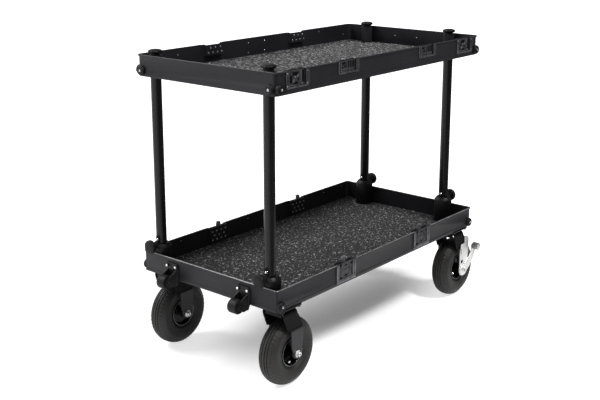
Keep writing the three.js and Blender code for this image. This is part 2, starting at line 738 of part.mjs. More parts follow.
// Load rollers and their brackets on the left wall
const bracketFace = -(wallX + bandOut + runGap);
const rollerX = bracketFace - rollerOut;
const boltZ = lowerFloor + rollerBoltRise;
const rollerZ = boltZ - rollerDrop;
const earOut = rollerHalf + runGap + earThick;
for (const [name, sy] of [['f', -1], ['b', 1]]) {
  const y = sy * (trayWidth / 2 - rollerSideInset);
  const top = boltZ + bracketOver;
  const low = rollerZ - bracketUnder;
  const wide = earOut + bracketWing;
  let bracket = crosswise(outline([
    [-earOut, low], [earOut, low], [wide - 2, rollerZ], [wide, top - 10],
    [wide - 6, top], [6 - wide, top], [-wide, top - 10], [2 - wide, rollerZ],
  ]), bracketFace - bracketThick, bracketFace, y, 0);
  for (const s of [-1, 1]) {
    const ear = outline([
      [bracketFace - 1, boltZ - bracketOver], [bracketFace - 1, low + 2],
      [rollerX + earRound + 2, low], [rollerX + 2, rollerZ - earRound - 1],
      [rollerX - 0.8 * earRound, rollerZ - 0.5 * earRound], [rollerX - earRound, rollerZ + 0.25 * earRound],
      [rollerX - 0.5 * earRound, rollerZ + earRound],
    ]);
    bracket = bracket.add(upright(ear, y + s * (rollerHalf + runGap), y + s * earOut));
    const boltY = y + (s * rollerBoltStep) / 2;
    const boltEnd = bracketThick + rollerBoltHead;
    const bolt = rod(rollerBoltRadius, bracketThick - 1, boltEnd, 10, '-x', bracketFace, boltY, boltZ);
    bracket = bracket.add(bolt);
  }
  const pinHole = rod(rollerPin + runGap, -2 * earOut, 2 * earOut, 12, '-y', rollerX, y, rollerZ);
  bracket = bracket.subtract(pinHole);
  place(`roller_bracket_${name}`, bracket, 'blackPlastic');

  const pinEnd = earOut + pinHeadThick;
  const half = [
    [0, pinEnd], [pinHead, pinEnd], [pinHead, earOut + runGap], [rollerPin, earOut + runGap],
    [rollerPin, rollerHalf], [rollerRadius - rollerEdge, rollerHalf], [rollerRadius, rollerHalf - rollerEdge],
  ];
  const far = [...half].reverse().map(([r, d]) => [r, -d]);
  place(`load_roller_${name}`, turned([...half, ...far], 20, '-y', rollerX, y, rollerZ), 'rollerRubber');
}

// Case latches of the lower tray: turning wing and drawn hook
for (const c of corners) {
  const x = c.sx * latchX;
  const back = pocketBack + runGap;
  const hookFace = back + hookThick;
  const wingFace = wallY - wingInset;
  const wingBack = wingFace - wingThick;
  const boss = [
    [0, back - 2], [wingPin, back - 2], [wingPin, hookFace + runGap], [wingBoss, hookFace + runGap],
    [wingBoss, wingBack + 1], [0, wingBack + 1],
  ];
  const plate = roundRect(wingLong, wingHigh, dishCorner);
  let wing = turned(boss, 10, '-y', x, 0, wingHeight);
  wing = wing.add(upright(plate, -wingBack, -wingFace, x, wingHeight, 2));
  const top = lowerRim + hookOver;
  const bar = outline([
    [-hookHalf, wingHeight - hookTail], [hookHalf, wingHeight - hookTail], [hookHalf, top - hookCorner],
    [hookHalf - hookCorner, top], [hookCorner - hookHalf, top], [-hookHalf, top - hookCorner],
  ]);
  const noseHalf = hookHalf - hookCorner;
  const slotHalf = wingPin + keyGap;
  let hook = upright(bar, -back, -hookFace, x, 0);
  hook = hook.add(block(
    x - noseHalf, x + noseHalf, -hookFace + 1, -hookFace - hookNose, top - hookThick, top,
  ));
  hook = hook.subtract(block(
    x - slotHalf, x + slotHalf, -back + 2, -hookFace - 2,
    wingHeight - wingPin - 1, wingHeight + wingPin + hookTravel + 1.5,
  ));
  place(`latch_wing_${c.name}`, onSide(wing, c.sy), 'zinc');
  place(`latch_hook_${c.name}`, onSide(hook, c.sy), 'zinc');
}

// Centre the box in plan and stand the wheels on zero
const box = new THREE.Box3().setFromObject(group);
const middle = box.getCenter(new THREE.Vector3());
for (const mesh of group.children) {
  mesh.geometry.translate(-middle.x, -middle.y, -box.min.z);
}

export default group;
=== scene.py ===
import math
import random

import bmesh
import bpy
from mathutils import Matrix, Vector
from mathutils.geometry import delaunay_2d_cdt


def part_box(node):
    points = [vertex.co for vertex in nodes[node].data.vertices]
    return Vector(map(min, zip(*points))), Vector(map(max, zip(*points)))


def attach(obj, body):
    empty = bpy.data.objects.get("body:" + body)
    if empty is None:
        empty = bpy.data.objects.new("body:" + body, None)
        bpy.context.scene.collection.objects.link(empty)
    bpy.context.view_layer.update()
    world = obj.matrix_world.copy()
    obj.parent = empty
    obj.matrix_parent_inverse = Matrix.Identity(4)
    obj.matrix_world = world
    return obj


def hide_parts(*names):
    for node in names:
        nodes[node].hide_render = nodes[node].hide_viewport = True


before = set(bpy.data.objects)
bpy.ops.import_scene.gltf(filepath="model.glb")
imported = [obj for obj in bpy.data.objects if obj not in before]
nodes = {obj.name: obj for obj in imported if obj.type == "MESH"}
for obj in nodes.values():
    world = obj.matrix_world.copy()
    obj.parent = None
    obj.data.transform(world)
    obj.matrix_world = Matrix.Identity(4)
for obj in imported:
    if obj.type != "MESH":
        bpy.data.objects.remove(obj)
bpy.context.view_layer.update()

scene = bpy.context.scene
mm = 0.001

# Places are in mm from the middle of the trays: the cart's box is a little longer at the roller end.
trayMiddle = sum(corner.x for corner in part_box("upper_carpet")) / 2
corners = {"fl": (-1, -1), "fr": (1, -1), "bl": (-1, 1), "br": (1, 1)}


def at(x, y, z):
    return Vector((trayMiddle + x * mm, y * mm, z * mm))


def middle(node):
    # centre of a CAD piece in mm
    low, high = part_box(node)
    x, y, z = (low + high) / 2
    return tuple(round(value / mm, 2) for value in (x - trayMiddle, y, z))


def heights(node):
    return tuple(round(corner.z / mm, 2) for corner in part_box(node))


poles = {name: middle(f"pole_{name}")[:2] for name in ("fl", "bl", "fr", "br")}
wheels = {name: middle(f"caster_tyre_{name}")[:2] for name in corners}
axleHeight = middle("caster_tyre_fl")[2]
rimTops = {deck: heights(f"{deck}_tray")[1] for deck in ("lower", "upper")}
wall = {"innerX": 604, "innerY": 316, "thick": 2.5}
bodies = {"lower": "base", "upper": "top_tray"}


# Shapes

axes = {
    "+x": (Vector((1, 0, 0)), Vector((0, 1, 0))),
    "-x": (Vector((-1, 0, 0)), Vector((0, -1, 0))),
    "+y": (Vector((0, 1, 0)), Vector((0, 0, 1))),
    "-y": (Vector((0, -1, 0)), Vector((0, 0, 1))),
    "+z": (Vector((0, 0, 1)), Vector((1, 0, 0))),
}


def facing(axis, sign):
    return ("-" if sign < 0 else "+") + axis


def turns(count):
    return [2 * math.pi * step / count for step in range(count)]


def arc(u, v, radius, start, end, steps):
    # points on a circle round (u, v), between two angles in degrees
    angles = [math.radians(start + (end - start) * step / steps) for step in range(steps + 1)]
    return [(u + radius * math.cos(a), v + radius * math.sin(a)) for a in angles]


def placed(profile, start=0, way=1):
    # the same profile further along its axis, or pointing the other way
    return [(radius, start + way * distance) for radius, distance in profile]


def mirrored(half):
    # a profile drawn on one side of its middle plane, together with its other side
    return half + [(radius, -distance) for radius, distance in reversed(half) if distance > 0]


def addSkin(mesh, rings, closed=False):
    # closed joins the last ring to the first; otherwise both ends are capped
    for low, high in zip(rings, rings[1:] + rings[:1] if closed else rings[1:]):
        for k in range(len(low)):
            after = (k + 1) % len(low)
            mesh.faces.new((low[k], low[after], high[after], high[k]))
    if not closed:
        mesh.faces.new(rings[0][::-1])
        mesh.faces.new(rings[-1])


def addTurned(mesh, profile, segments, direction, centre, swing=None):
    # profile is (radius, distance along the direction) in mm; a radius of 0 closes the end
    along, side = axes[direction]
    across = along.cross(side)
    rings = []
    for radius, distance in profile:
        ring = []
        for angle in turns(segments) if radius else [0]:
            reach = swing(radius, distance, angle) if swing else radius
            spoke = side * math.cos(angle) + across * math.sin(angle)
            ring.append(mesh.verts.new(centre + (spoke * reach + along * distance) * mm))
        rings.append(ring)
    for low, high in zip(rings, rings[1:]):
        for step in range(segments):
            after = (step + 1) % segments
            if len(low) == 1:
                mesh.faces.new((low[0], high[after], high[step]))
            elif len(high) == 1:
                mesh.faces.new((low[step], low[after], high[0]))
            else:
                mesh.faces.new((low[step], low[after], high[after], high[step]))
    if profile[0] == profile[-1]:
        bmesh.ops.remove_doubles(mesh, verts=rings[0] + rings[-1], dist=1e-6)


def addBlock(mesh, low, high, edge=0.0, segments=2):
    # box between two corners in mm, with rounded edges
    a, b = at(*low), at(*high)
    made = bmesh.ops.create_cube(mesh, size=1)["verts"]
    for vert in made:
        vert.co = Vector([a[k] if vert.co[k] < 0 else b[k] for k in range(3)])
    if edge:
        edges = list(dict.fromkeys(e for vert in made for e in vert.link_edges))
        bmesh.ops.bevel(mesh, geom=edges, offset=edge * mm, segments=segments, affect="EDGES", profile=0.5)


def addBar(mesh, x0, x1, sy, near, far, z0, z1, edge=0):
    # block on one long wall; near and far count outwards from the middle
    ys = sorted((sy * near, sy * far))
    addBlock(mesh, (x0, ys[0], z0), (x1, ys[1], z1), edge)


def addPlate(mesh, outline, start, end, edge):
    # flat outline of (x, z) in mm, made thick from y start to y end
    low, high = ([mesh.verts.new(at(x, y, z)) for x, z in outline] for y in (start, end))
    ends = [mesh.faces.new(low), mesh.faces.new(high[::-1])]
    for k in range(len(outline)):
        after = (k + 1) % len(outline)
        mesh.faces.new((low[k], high[k], high[after], low[after]))
    rims = [e for face in ends for e in face.edges]
    bmesh.ops.bevel(mesh, geom=rims, offset=edge * mm, segments=2, affect="EDGES", profile=0.5)


def addRod(mesh, points, radius, sides=10):
    # round rod along points in mm
    path = [at(*p) for p in points]
    rings = []
    for before, here, after in zip([path[0], *path], path, [*path[1:], path[-1]]):
        along = (after - before).normalized()
        side = (side - along * side.dot(along) if rings else along.orthogonal()).normalized()
        across = along.cross(side)
        rings.append([mesh.verts.new(here + (side * math.cos(a) + across * math.sin(a)) * radius * mm)
                      for a in turns(sides)])
    addSkin(mesh, rings)


def addRivet(mesh, centre, direction, radius, height):
    dome = [(radius * c, height * s) for c, s in arc(0, 0, 1, 0, 90, 4)[:-1]]
    addTurned(mesh, [(radius, -0.4), *dome, (0, height)], 14, direction, centre)


def makeObject(name, mesh):
    data = bpy.data.meshes.new(name)
    mesh.to_mesh(data)
    mesh.free()
    thing = bpy.data.objects.new(name, data)
    scene.collection.objects.link(thing)
    return thing


def piece(name, mesh, body, material, slotName, node=None, sharp=35):
    bmesh.ops.recalc_face_normals(mesh, faces=mesh.faces[:])
    thing = makeObject(name, mesh)
    thing.data.polygons.foreach_set("use_smooth", [True] * len(thing.data.polygons))
    thing.data.set_sharp_from_angle(angle=math.radians(sharp))
    thing.data.materials.append(material)
    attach(thing, body)
    if node:
        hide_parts(node)
    return thing


def turnedPiece(name, profile, segments, direction, centre, *rest, swing=None):
    # rest is what piece() takes after the mesh
    mesh = bmesh.new()
    addTurned(mesh, profile, segments, direction, centre, swing)
    return piece(name, mesh, *rest)


def softenEdges(thing, name, widthMm, angle, harden=False):
    edge = thing.modifiers.new(name, "BEVEL")
    edge.width = widthMm * mm
    edge.segments = 2
    edge.limit_method = "ANGLE"
    edge.angle_limit = math.radians(angle)
    edge.harden_normals = harden


# Materials

def linear(hexColour):
    values = [int(hexColour[k:k + 2], 16) / 255 for k in (1, 3, 5)]
    return [v / 12.92 if v <= 0.04045 else ((v + 0.055) / 1.055) ** 2.4 for v in values] + [1.0]


def setNode(tree, node, settings=None, links=None):
    # a key is a property of the node, or the name or number of a socket
    for key, value in (settings or {}).items():
        if isinstance(key, str) and hasattr(node, key):
            setattr(node, key, value)
        else:
            node.inputs[key].default_value = value
    for key, source in (links or {}).items():
        tree.links.new(source, node.inputs[key])
    return node


def addNode(tree, kind, settings=None, links=None):
    return setNode(tree, tree.nodes.new("ShaderNode" + kind), settings, links)


def addNoise(tree, place, sizeMm, detail, roughness=0.5):
    settings = {"Scale": 1 / (sizeMm * mm), "Detail": detail, "Roughness": roughness}
    return addNode(tree, "TexNoise", settings, {"Vector": place}).outputs["Fac"]


def remap(tree, value, before, after, kind="LINEAR"):
    # kind SMOOTHSTEP eases both ends
    settings = {"interpolation_type": kind, "From Min": before[0], "From Max": before[1],
                "To Min": after[0], "To Max": after[1]}
    return addNode(tree, "MapRange", settings, {"Value": value}).outputs["Result"]


def calculate(tree, kind, operation, *terms):
    # each term is a socket or a plain value
    sockets = {k: term for k, term in enumerate(terms) if isinstance(term, bpy.types.NodeSocket)}
    values = {k: term for k, term in enumerate(terms) if k not in sockets}
    node = addNode(tree, kind, {"operation": operation, **values}, sockets)
    return next(socket for socket in node.outputs if socket.enabled)


def mathNode(tree, operation, *terms):
    return calculate(tree, "Math", operation, *terms)


def vectorNode(tree, operation, *terms):
    return calculate(tree, "VectorMath", operation, *terms)


def blendColours(tree, factor, *stops):
    # each stop is a position and an sRGB colour
    ramp = addNode(tree, "ValToRGB", links={"Fac": factor})
    elements = ramp.color_ramp.elements
    elements[0].position, elements[1].position = stops[0][0], stops[-1][0]
    for position, _ in stops[1:-1]:
        elements.new(position)
    for element, (_, colour) in zip(elements, stops):
        element.color = linear(colour)
    return ramp.outputs["Color"]


def addBump(tree, height, strength, distance):
    settings = {"Strength": strength, "Distance": distance}
    return addNode(tree, "Bump", settings, {"Height": height}).outputs["Normal"]


def newMaterial(name):
    material = bpy.data.materials.new(name)
    material.use_nodes = True
    tree = material.node_tree
    tree.nodes.clear()
    out = addNode(tree, "OutputMaterial")
    shader = addNode(tree, "BsdfPrincipled")
    tree.links.new(shader.outputs["BSDF"], out.inputs["Surface"])
    place = addNode(tree, "TexCoord")
    return material, tree, shader, place.outputs["Object"]


# Less gloss inside the trays: a painted shade, as the inner walls lie in shade.
def dullInside(tree, shader, place, inside):
    offMiddle = vectorNode(tree, "SUBTRACT", place, (trayMiddle, 0, 0))
    spread = vectorNode(tree, "ABSOLUTE", offMiddle)
    parts = addNode(tree, "SeparateXYZ", links={0: spread}).outputs
    within = [mathNode(tree, "LESS_THAN", parts[axis], inside[f"half{axis}"] * mm) for axis in ("X", "Y")]
    mask = mathNode(tree, "MULTIPLY", *within)
    level = remap(tree, mask, (0, 1), (inside["outerGloss"], inside["gloss"]))
    tree.links.new(level, shader.inputs["Specular IOR Level"])


# One recipe serves the paints, plastics and rubbers: a base colour that drifts a little over
# the piece, a fine grain in the relief, and a gloss that is uneven where hands and dust have been.
usualCoat = {"speck": 0.35, "bump": 0.25, "ior": 1.5, "metallic": 0.0}


def coatedSurface(name, **look):
    look = {**usualCoat, **look}
    dark, light, speck = look["colours"]
    material, tree, shader, place = newMaterial(name)
    drift = addNoise(tree, place, look["driftMm"], 4.0)
    grain = addNoise(tree, place, look["grainMm"], 2.0)
    colour = blendColours(tree, drift, (0.35, dark), (0.68, light))
    specks = remap(tree, grain, (0.3, 0.75), (0.0, look["speck"]))
    mixed = addNode(tree, "Mix", {"data_type": "RGBA", 7: linear(speck)}, {0: specks, 6: colour})
    setNode(tree, shader, {"IOR": look["ior"], "Metallic": look["metallic"]}, {
        "Base Color": mixed.outputs[2],
        "Roughness": remap(tree, drift, (0.3, 0.7), look["roughness"]),
        "Normal": addBump(tree, grain, look["bump"], look["grainMm"] * mm * 0.3),
    })
    if "inside" in look:
        dullInside(tree, shader, place, look["inside"])
    return material


print("materials")

# Powder-coated aluminium: an even near-black with a soft sheen, and a grain like orange peel.
# The real grain is about 0.3 mm; it is drawn at 4 mm so that it shows from a few metres.
# Inside the trays the same paint has less gloss, a painted shade for the shade on the inner walls.
trayCoat = coatedSurface(
    "powder-coated aluminium", colours=("#1e1e21", "#27272a", "#313135"), driftMm=160, grainMm=4,
    speck=0.3, roughness=(0.38, 0.48), bump=0.2, ior=1.34,
    inside={"halfX": 605.2, "halfY": 317.2, "gloss": 0.16, "outerGloss": 0.5})
# Rim fold of the lower tray, also the wheels' rim lips: pale grey metal, a painted highlight, so the bead
# shines paler than the wall.
rimHighlightCoat = coatedSurface(
    "rim fold, painted highlight", colours=("#8a8a8c", "#b4b4b6", "#4a4a4c"), driftMm=40, grainMm=5,
    roughness=(0.22, 0.38), bump=0.2, metallic=0.4)
# Fold of the upper rim: the same paint, a shade paler than the wall below it, which is a painted highlight
# along the fold.
foldHighlightCoat = coatedSurface(
    "upper rim fold, painted highlight", colours=("#2a2a2d", "#3c3c3f", "#4a4a4c"), driftMm=40, grainMm=5, speck=0.3,
    roughness=(0.3, 0.42), bump=0.2, ior=1.4, metallic=0.1)
# Black anodised tube: smoother than the paint, so it carries long soft highlights.
tubeCoat = coatedSurface(
    "black anodised tube", colours=("#08080a", "#0f0f11", "#121214"), driftMm=120, grainMm=3, speck=0.2,
    roughness=(0.24, 0.3), bump=0.04, ior=1.4)
# Moulded nylon: spark-eroded mould texture, darker and duller than paint.
nylon = coatedSurface(
    "moulded nylon", colours=("#050506", "#0a0a0c", "#141416"), driftMm=40, grainMm=2.2,
    roughness=(0.4, 0.56), bump=0.35, ior=1.33)
# Electro-coated pressed steel: satin black with a faint grey dust.
pressedSteel = coatedSurface(
    "electro-coated steel", colours=("#08080a", "#0f0f11", "#19191b"), driftMm=70, grainMm=3,
    roughness=(0.4, 0.52), ior=1.36)
# Fork paint: a dark grey hammer finish, plainly lighter than the trays where the light reaches it.
forkSteel = coatedSurface(
    "grey painted steel", colours=("#222225", "#2e2e31", "#39393c"), driftMm=60, grainMm=3,
    roughness=(0.36, 0.48), ior=1.45)
# Yoke of the fork: near-black, a painted shade for the shade it lies in under the tray.
yokeShadeBlack = coatedSurface(
    "black yoke, painted shade", colours=("#040405", "#09090a", "#111112"), driftMm=50, grainMm=3, speck=0.3,
    roughness=(0.54, 0.66), ior=1.27)
# Enamelled rim: deep black, glossier than the fork.
rimEnamel = coatedSurface(
    "black enamel rim", colours=("#060607", "#0c0c0e", "#161618"), driftMm=60, grainMm=4, speck=0.2,
    roughness=(0.17, 0.27), bump=0.08)
# Vulcanised tyre rubber: matt dark grey, a little warm, with dusty patches.
tyreRubber = coatedSurface(
    "vulcanised tyre rubber", colours=("#181716", "#252322", "#353331"), driftMm=45, grainMm=2.5,
    speck=0.45, roughness=(0.44, 0.6), bump=0.4, ior=1.46)
# Solid rubber rollers and bumpers: finer and blacker than the tyres.
solidRubber = coatedSurface(
    "moulded solid rubber", colours=("#060607", "#0c0c0d", "#151516"), driftMm=30, grainMm=2,
    roughness=(0.44, 0.6), bump=0.3, ior=1.36)
# Black-zinc latch steel: pressed parts that look a shade lighter than the wall round them.
latchSteel = coatedSurface(
    "black-zinc pressed steel", colours=("#303032", "#424244", "#4a4a4d"), driftMm=25, grainMm=2.5,
    speck=0.4, roughness=(0.26, 0.42), bump=0.2, metallic=0.35)
# Latch frames, hooks and lock wings: the same plate painted paler, a painted highlight so that each fold
# reads as a thin lit line.
frameHighlightSteel = coatedSurface(
    "latch frame, painted highlight", colours=("#56565a", "#7c7c80", "#8b8b8e"), driftMm=22, grainMm=2.5, speck=0.4,
    roughness=(0.24, 0.4), bump=0.2, metallic=0.5)
# Near-black painted shade for the shadowed slots and bores in the latches, and for the holes and gaps at the
# axles and brakes.
slotBlack = coatedSurface(
    "unlit slot", colours=("#020203", "#050506", "#08080a"), driftMm=20, grainMm=3, speck=0.1,
    roughness=(0.75, 0.85), bump=0.1, ior=1.3)


# Bright metals: a mirror-like base whose gloss is broken by rolling and plating marks.
def brightMetal(name, **look):
    material, tree, shader, place = newMaterial(name)
    marks = addNoise(tree, place, look["markMm"], 5.0)
    setNode(tree, shader, {"Metallic": 1.0}, {
        "Base Color": blendColours(tree, marks, *zip((0.3, 0.7), look["colours"])),
        "Roughness": remap(tree, marks, (0.3, 0.7), look["roughness"]),
        "Normal": addBump(tree, marks, look["bump"], 0.0004),
    })
    return material


# Bright zinc plate: pale silver, cloudy rather than mirror sharp.
zincPlate = brightMetal(
    "bright zinc-plated steel", colours=("#e8e8e7", "#fcfcfb"), markMm=14, roughness=(0.34, 0.5),
    bump=0.12)
# The pedal's sleeve: the same plate worn grey by boots, dark between its ribs.
wornZinc = brightMetal(
    "worn zinc sleeve", colours=("#6e6e6f", "#c4c4c4"), markMm=7, roughness=(0.26, 0.42), bump=0.2)
# Chrome: small parts that pick up the lamps as a point of light.
chromePlate = brightMetal(
    "chrome plate", colours=("#cfd1d3", "#f1f2f3"), markMm=6, roughness=(0.08, 0.16), bump=0.05)
# Aluminium rivets: dull silver heads.
rivetAluminium = brightMetal(
    "aluminium rivets", colours=("#a9aaad", "#d8d9db"), markMm=3, roughness=(0.22, 0.38), bump=0.1)


# Heathered needle-felt carpet: pale and dark fibres punched together, so it reads as salt and
# pepper, with short tufts that lie along and across the web. Flecks are drawn at a few mm.
def needleFelt(name, **look):
    material, tree, shader, place = newMaterial(name)
    fleck = addNoise(tree, place, look["fleckMm"], 3.0, 0.7)
    lengthwise = {"Scale": (1, look["stretch"], 1)}
    crosswise = {"Scale": (look["stretch"], 1, 1), "Rotation": (0, 0, 0.6)}
    webs = [addNode(tree, "Mapping", web, {"Vector": place}).outputs[0] for web in (lengthwise, crosswise)]
    tufts = mathNode(tree, "MAXIMUM", *(addNoise(tree, web, look["tuftMm"], 2.0) for web in webs))
    fibres = mathNode(tree, "ADD", fleck, tufts)
    share = remap(tree, fibres, (0.8, 1.45), (0, 1))
    setNode(tree, shader, {"Roughness": 0.95, "Specular IOR Level": 0.2, "Sheen Weight": 0.1,
                           "Sheen Roughness": 0.6},
            {"Base Color": blendColours(tree, share, *zip(look["stops"], look["colours"])),
             "Normal": addBump(tree, fibres, 0.8, 0.002)})
    return material


upperFelt = needleFelt(
    "heathered needle felt, upper", colours=("#060607", "#48484a", "#dededf"), stops=(0.36, 0.53, 0.76),
    fleckMm=10.5, tuftMm=9.5, stretch=2.2)
lowerFelt = needleFelt(
    "heathered needle felt, lower", colours=("#040405", "#262628", "#cfcfd1"), stops=(0.41, 0.58, 0.78),
    fleckMm=10.5, tuftMm=8, stretch=2.4)


# CAD nodes whose shape is right keep it, with rolled edges and their own finish.
def finishNode(name, material, edgeMm):
    node = nodes[name]
    node.data.materials.clear()
    node.data.materials.append(material)
    node.data.polygons.foreach_set("use_smooth", [True] * len(node.data.polygons))
    weld = node.modifiers.new("weld", "WELD")
    weld.merge_threshold = 0.02 * mm
    softenEdges(node, "rolled edges", edgeMm, 32, True)


print("trays")
for deck in ("lower", "upper"):
    finishNode(f"{deck}_tray", trayCoat, 0.7)
for name in corners:
    finishNode(f"pole_socket_{name}", nylon, 1.2)
    finishNode(f"caster_plate_{name}", pressedSteel, 0.8)
    finishNode(f"latch_wing_{name}", latchSteel, 0.5)
    # The hooks take the pale frame steel: a painted highlight.
    finishNode(f"latch_hook_{name}", frameHighlightSteel, 0.5)
for name in ("fr", "br"):
    finishNode(f"brake_plate_{name}", zincPlate, 0.5)
    finishNode(f"brake_lever_{name}", zincPlate, 0.5)
for name in ("f", "b"):
    finishNode(f"roller_bracket_{name}", pressedSteel, 0.7)

# Dishes in the long walls: the case latches or their keepers, and the butterfly locks in front.
dish = {"half": 56, "cases": (-240, 240), "locks": (-505, 505)}
rimBead = {"radius": 1.5, "corner": {"lower": 9, "upper": 17}, "steps": 6, "halfX": 609.2, "halfY": 321.2,
           "below": 0.7}


# Rim beads: the folded edge of each wall ends in a thin round bead that catches the light.
def makeRimBead(deck, material):
    mesh = bmesh.new()
    corner, z = rimBead["corner"][deck], rimTops[deck] - rimBead["below"]
    straightX, straightY = rimBead["halfX"] - corner, rimBead["halfY"] - corner
    for sy in (-1, 1):
        gaps = [*dish["cases"], *(dish["locks"] if deck == "upper" and sy < 0 else ())]
        starts = [-straightX] + [x + dish["half"] for x in sorted(gaps)]
        ends = [x - dish["half"] for x in sorted(gaps)] + [straightX]
        for span in zip(starts, ends):
            addRod(mesh, [(x, sy * rimBead["halfY"], z) for x in span], rimBead["radius"])
    bend = arc(straightX, straightY, corner, 0, 90, rimBead["steps"])
    for sx in (-1, 1):
        path = [(sx * x, -y, z) for x, y in reversed(bend)] + [(sx * x, y, z) for x, y in bend]
        addRod(mesh, path, rimBead["radius"])
    piece(f"{deck}_rim_bead", mesh, bodies[deck], material, "tray_paint")


# The lower bead takes the pale rim fold: a painted highlight along the fold.
makeRimBead("lower", rimHighlightCoat)
# The upper bead is a shade paler than its wall: a painted highlight.
makeRimBead("upper", foldHighlightCoat)

print("carpets")
felt = {"spacing": 11, "thick": 5, "lift": 0.2, "rough": 0.45, "seed": 7, "edge": 1.2, "holeSteps": 40,
        "holeClear": 4, "holeShare": 0.995}


def makeCarpet(deck, material, corner, holeRadius):
    low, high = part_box(f"{deck}_carpet")
    halfX, halfY = (high.x - low.x) / 2 / mm, (high.y - low.y) / 2 / mm
    centres = [poles[name] for name in corners]
    outline = []
    for sx, sy, turn in ((1, -1, -90), (1, 1, 0), (-1, 1, 90), (-1, -1, 180)):
        outline += arc(sx * (halfX - corner), sy * (halfY - corner), corner, turn, turn + 90, 5)
    edge = []
    for (x, y), (nextX, nextY) in zip(outline, outline[1:] + outline[:1]):
        steps = max(1, round(math.hypot(nextX - x, nextY - y) / felt["spacing"]))
        edge += [(x + (nextX - x) * s / steps, y + (nextY - y) * s / steps) for s in range(steps)]
    points, edges = [], []
    for loop in [edge] + [arc(*centre, holeRadius, 0, 360, felt["holeSteps"])[:-1] for centre in centres]:
        first = len(points)
        points += loop
        edges += [(first + k, first + (k + 1) % len(loop)) for k in range(len(loop))]

    def clearOfHoles(x, y, radius):
        return all(math.hypot(x - hx, y - hy) > radius for hx, hy in centres)

    def onCarpet(x, y):
        beyondX, beyondY = abs(x) - halfX + corner, abs(y) - halfY + corner
        inside = max(beyondX, beyondY) < corner
        if beyondX > 0 and beyondY > 0:
            inside = math.hypot(beyondX, beyondY) < corner
        return inside and clearOfHoles(x, y, holeRadius * felt["holeShare"])

    across, deep = (int(2 * half / felt["spacing"]) for half in (halfX, halfY))
    grid = [(-halfX + 2 * halfX * i / across, -halfY + 2 * halfY * j / deep)
            for i in range(1, across) for j in range(1, deep)]
    points += [point for point in grid if clearOfHoles(*point, holeRadius + felt["holeClear"])]
    verts, _, faces, *_ = delaunay_2d_cdt([Vector(p) for p in points], edges, [], 0, 1e-5)
    mesh = bmesh.new()
    made = [mesh.verts.new((trayMiddle + v.x * mm, v.y * mm, low.z + felt["lift"] * mm)) for v in verts]
    for face in faces:
        if onCarpet(*(sum(verts[k][axis] for k in face) / 3 for axis in (0, 1))):
            mesh.faces.new([made[k] for k in face])
    bmesh.ops.delete(mesh, geom=[v for v in mesh.verts if not v.link_faces], context="VERTS")
    area = sum(f.calc_area() for f in mesh.faces)
    raised = bmesh.ops.extrude_face_region(mesh, geom=mesh.faces[:])["geom"]
    draw = random.Random(felt["seed"])
    for vert in (part for part in raised if isinstance(part, bmesh.types.BMVert)):
        vert.co.z += (felt["thick"] - felt["lift"] - felt["rough"] * draw.random()) * mm
    thing = piece(f"{deck}_felt", mesh, bodies[deck], material, f"{deck}_liner", f"{deck}_carpet", 60)
    softenEdges(thing, "soft edge", felt["edge"], 60)


makeCarpet("lower", lowerFelt, 7, 36.8)  # cut out round the sockets
makeCarpet("upper", upperFelt, 12.5, 23.3)  # cut out round the collars

print("poles, buttons and knobs")
poleFoot, poleTop = heights("pole_fl")
poleRadius = round((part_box("pole_fl")[1].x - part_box("pole_fl")[0].x) / 2 / mm, 2)
pole = {"wall": 2, "plugBore": 6.3, "plugDeep": 34, "window": 5.9, "windowDeep": 30, "footEdge": 0.5,
        "topEdge": 1}
button = {
    "height": middle("snap_button_fl")[2], "bezelHole": 6.6, "bezelWide": 12, "bezelHigh": 17,
    "bezel": ((0.0, 0.1), (0.12, 1.3), (0.5, 1.8), (0.88, 1.3), (1.0, 0.1)),  # share of the width, lift
    "dome": [(0, 9.1), (7.4, 9.1), (7.4, 11), (5.5, 11), (5.5, 19.9), (5.2, 20.8), (4.3, 21.8), (2.6, 22.4),
             (0, 22.65)],
}
# Knob heads: a flat clamp disc with a shallow dish, and a mushroom on the pole; each on its stud.
clampKnob = {
    "height": middle("clamp_knob_fl")[2], "flutes": 24, "fluteDeep": 0.5, "fluteFrom": 23,
    "profile": [(0, 19.5), (5, 19.5), (5, 40.3), (11, 40.3), (12, 46), (19.5, 46), (22, 46.7), (24, 48.6),
                (25, 51), (25, 58), (24, 60.6), (22.5, 62.2), (19, 63.8), (15, 64.7), (13.5, 64.9),
                (0, 64.2)],
}
topKnob = {
    "height": 1086, "flutes": 12, "fluteDeep": 0.9, "fluteFrom": 22,
    "profile": [(0, -29.7), (5.2, -29.7), (6, -28.9), (6, 0.3), (18, 0.3), (18.6, 1), (17, 6.5), (18, 8.6),
                (23, 9.6), (24.6, 10.8), (25, 12.5), (25, 15), (24.2, 17), (21.5, 19.2), (14.5, 21.4),
                (7, 22.1), (0, 22.3)],
}


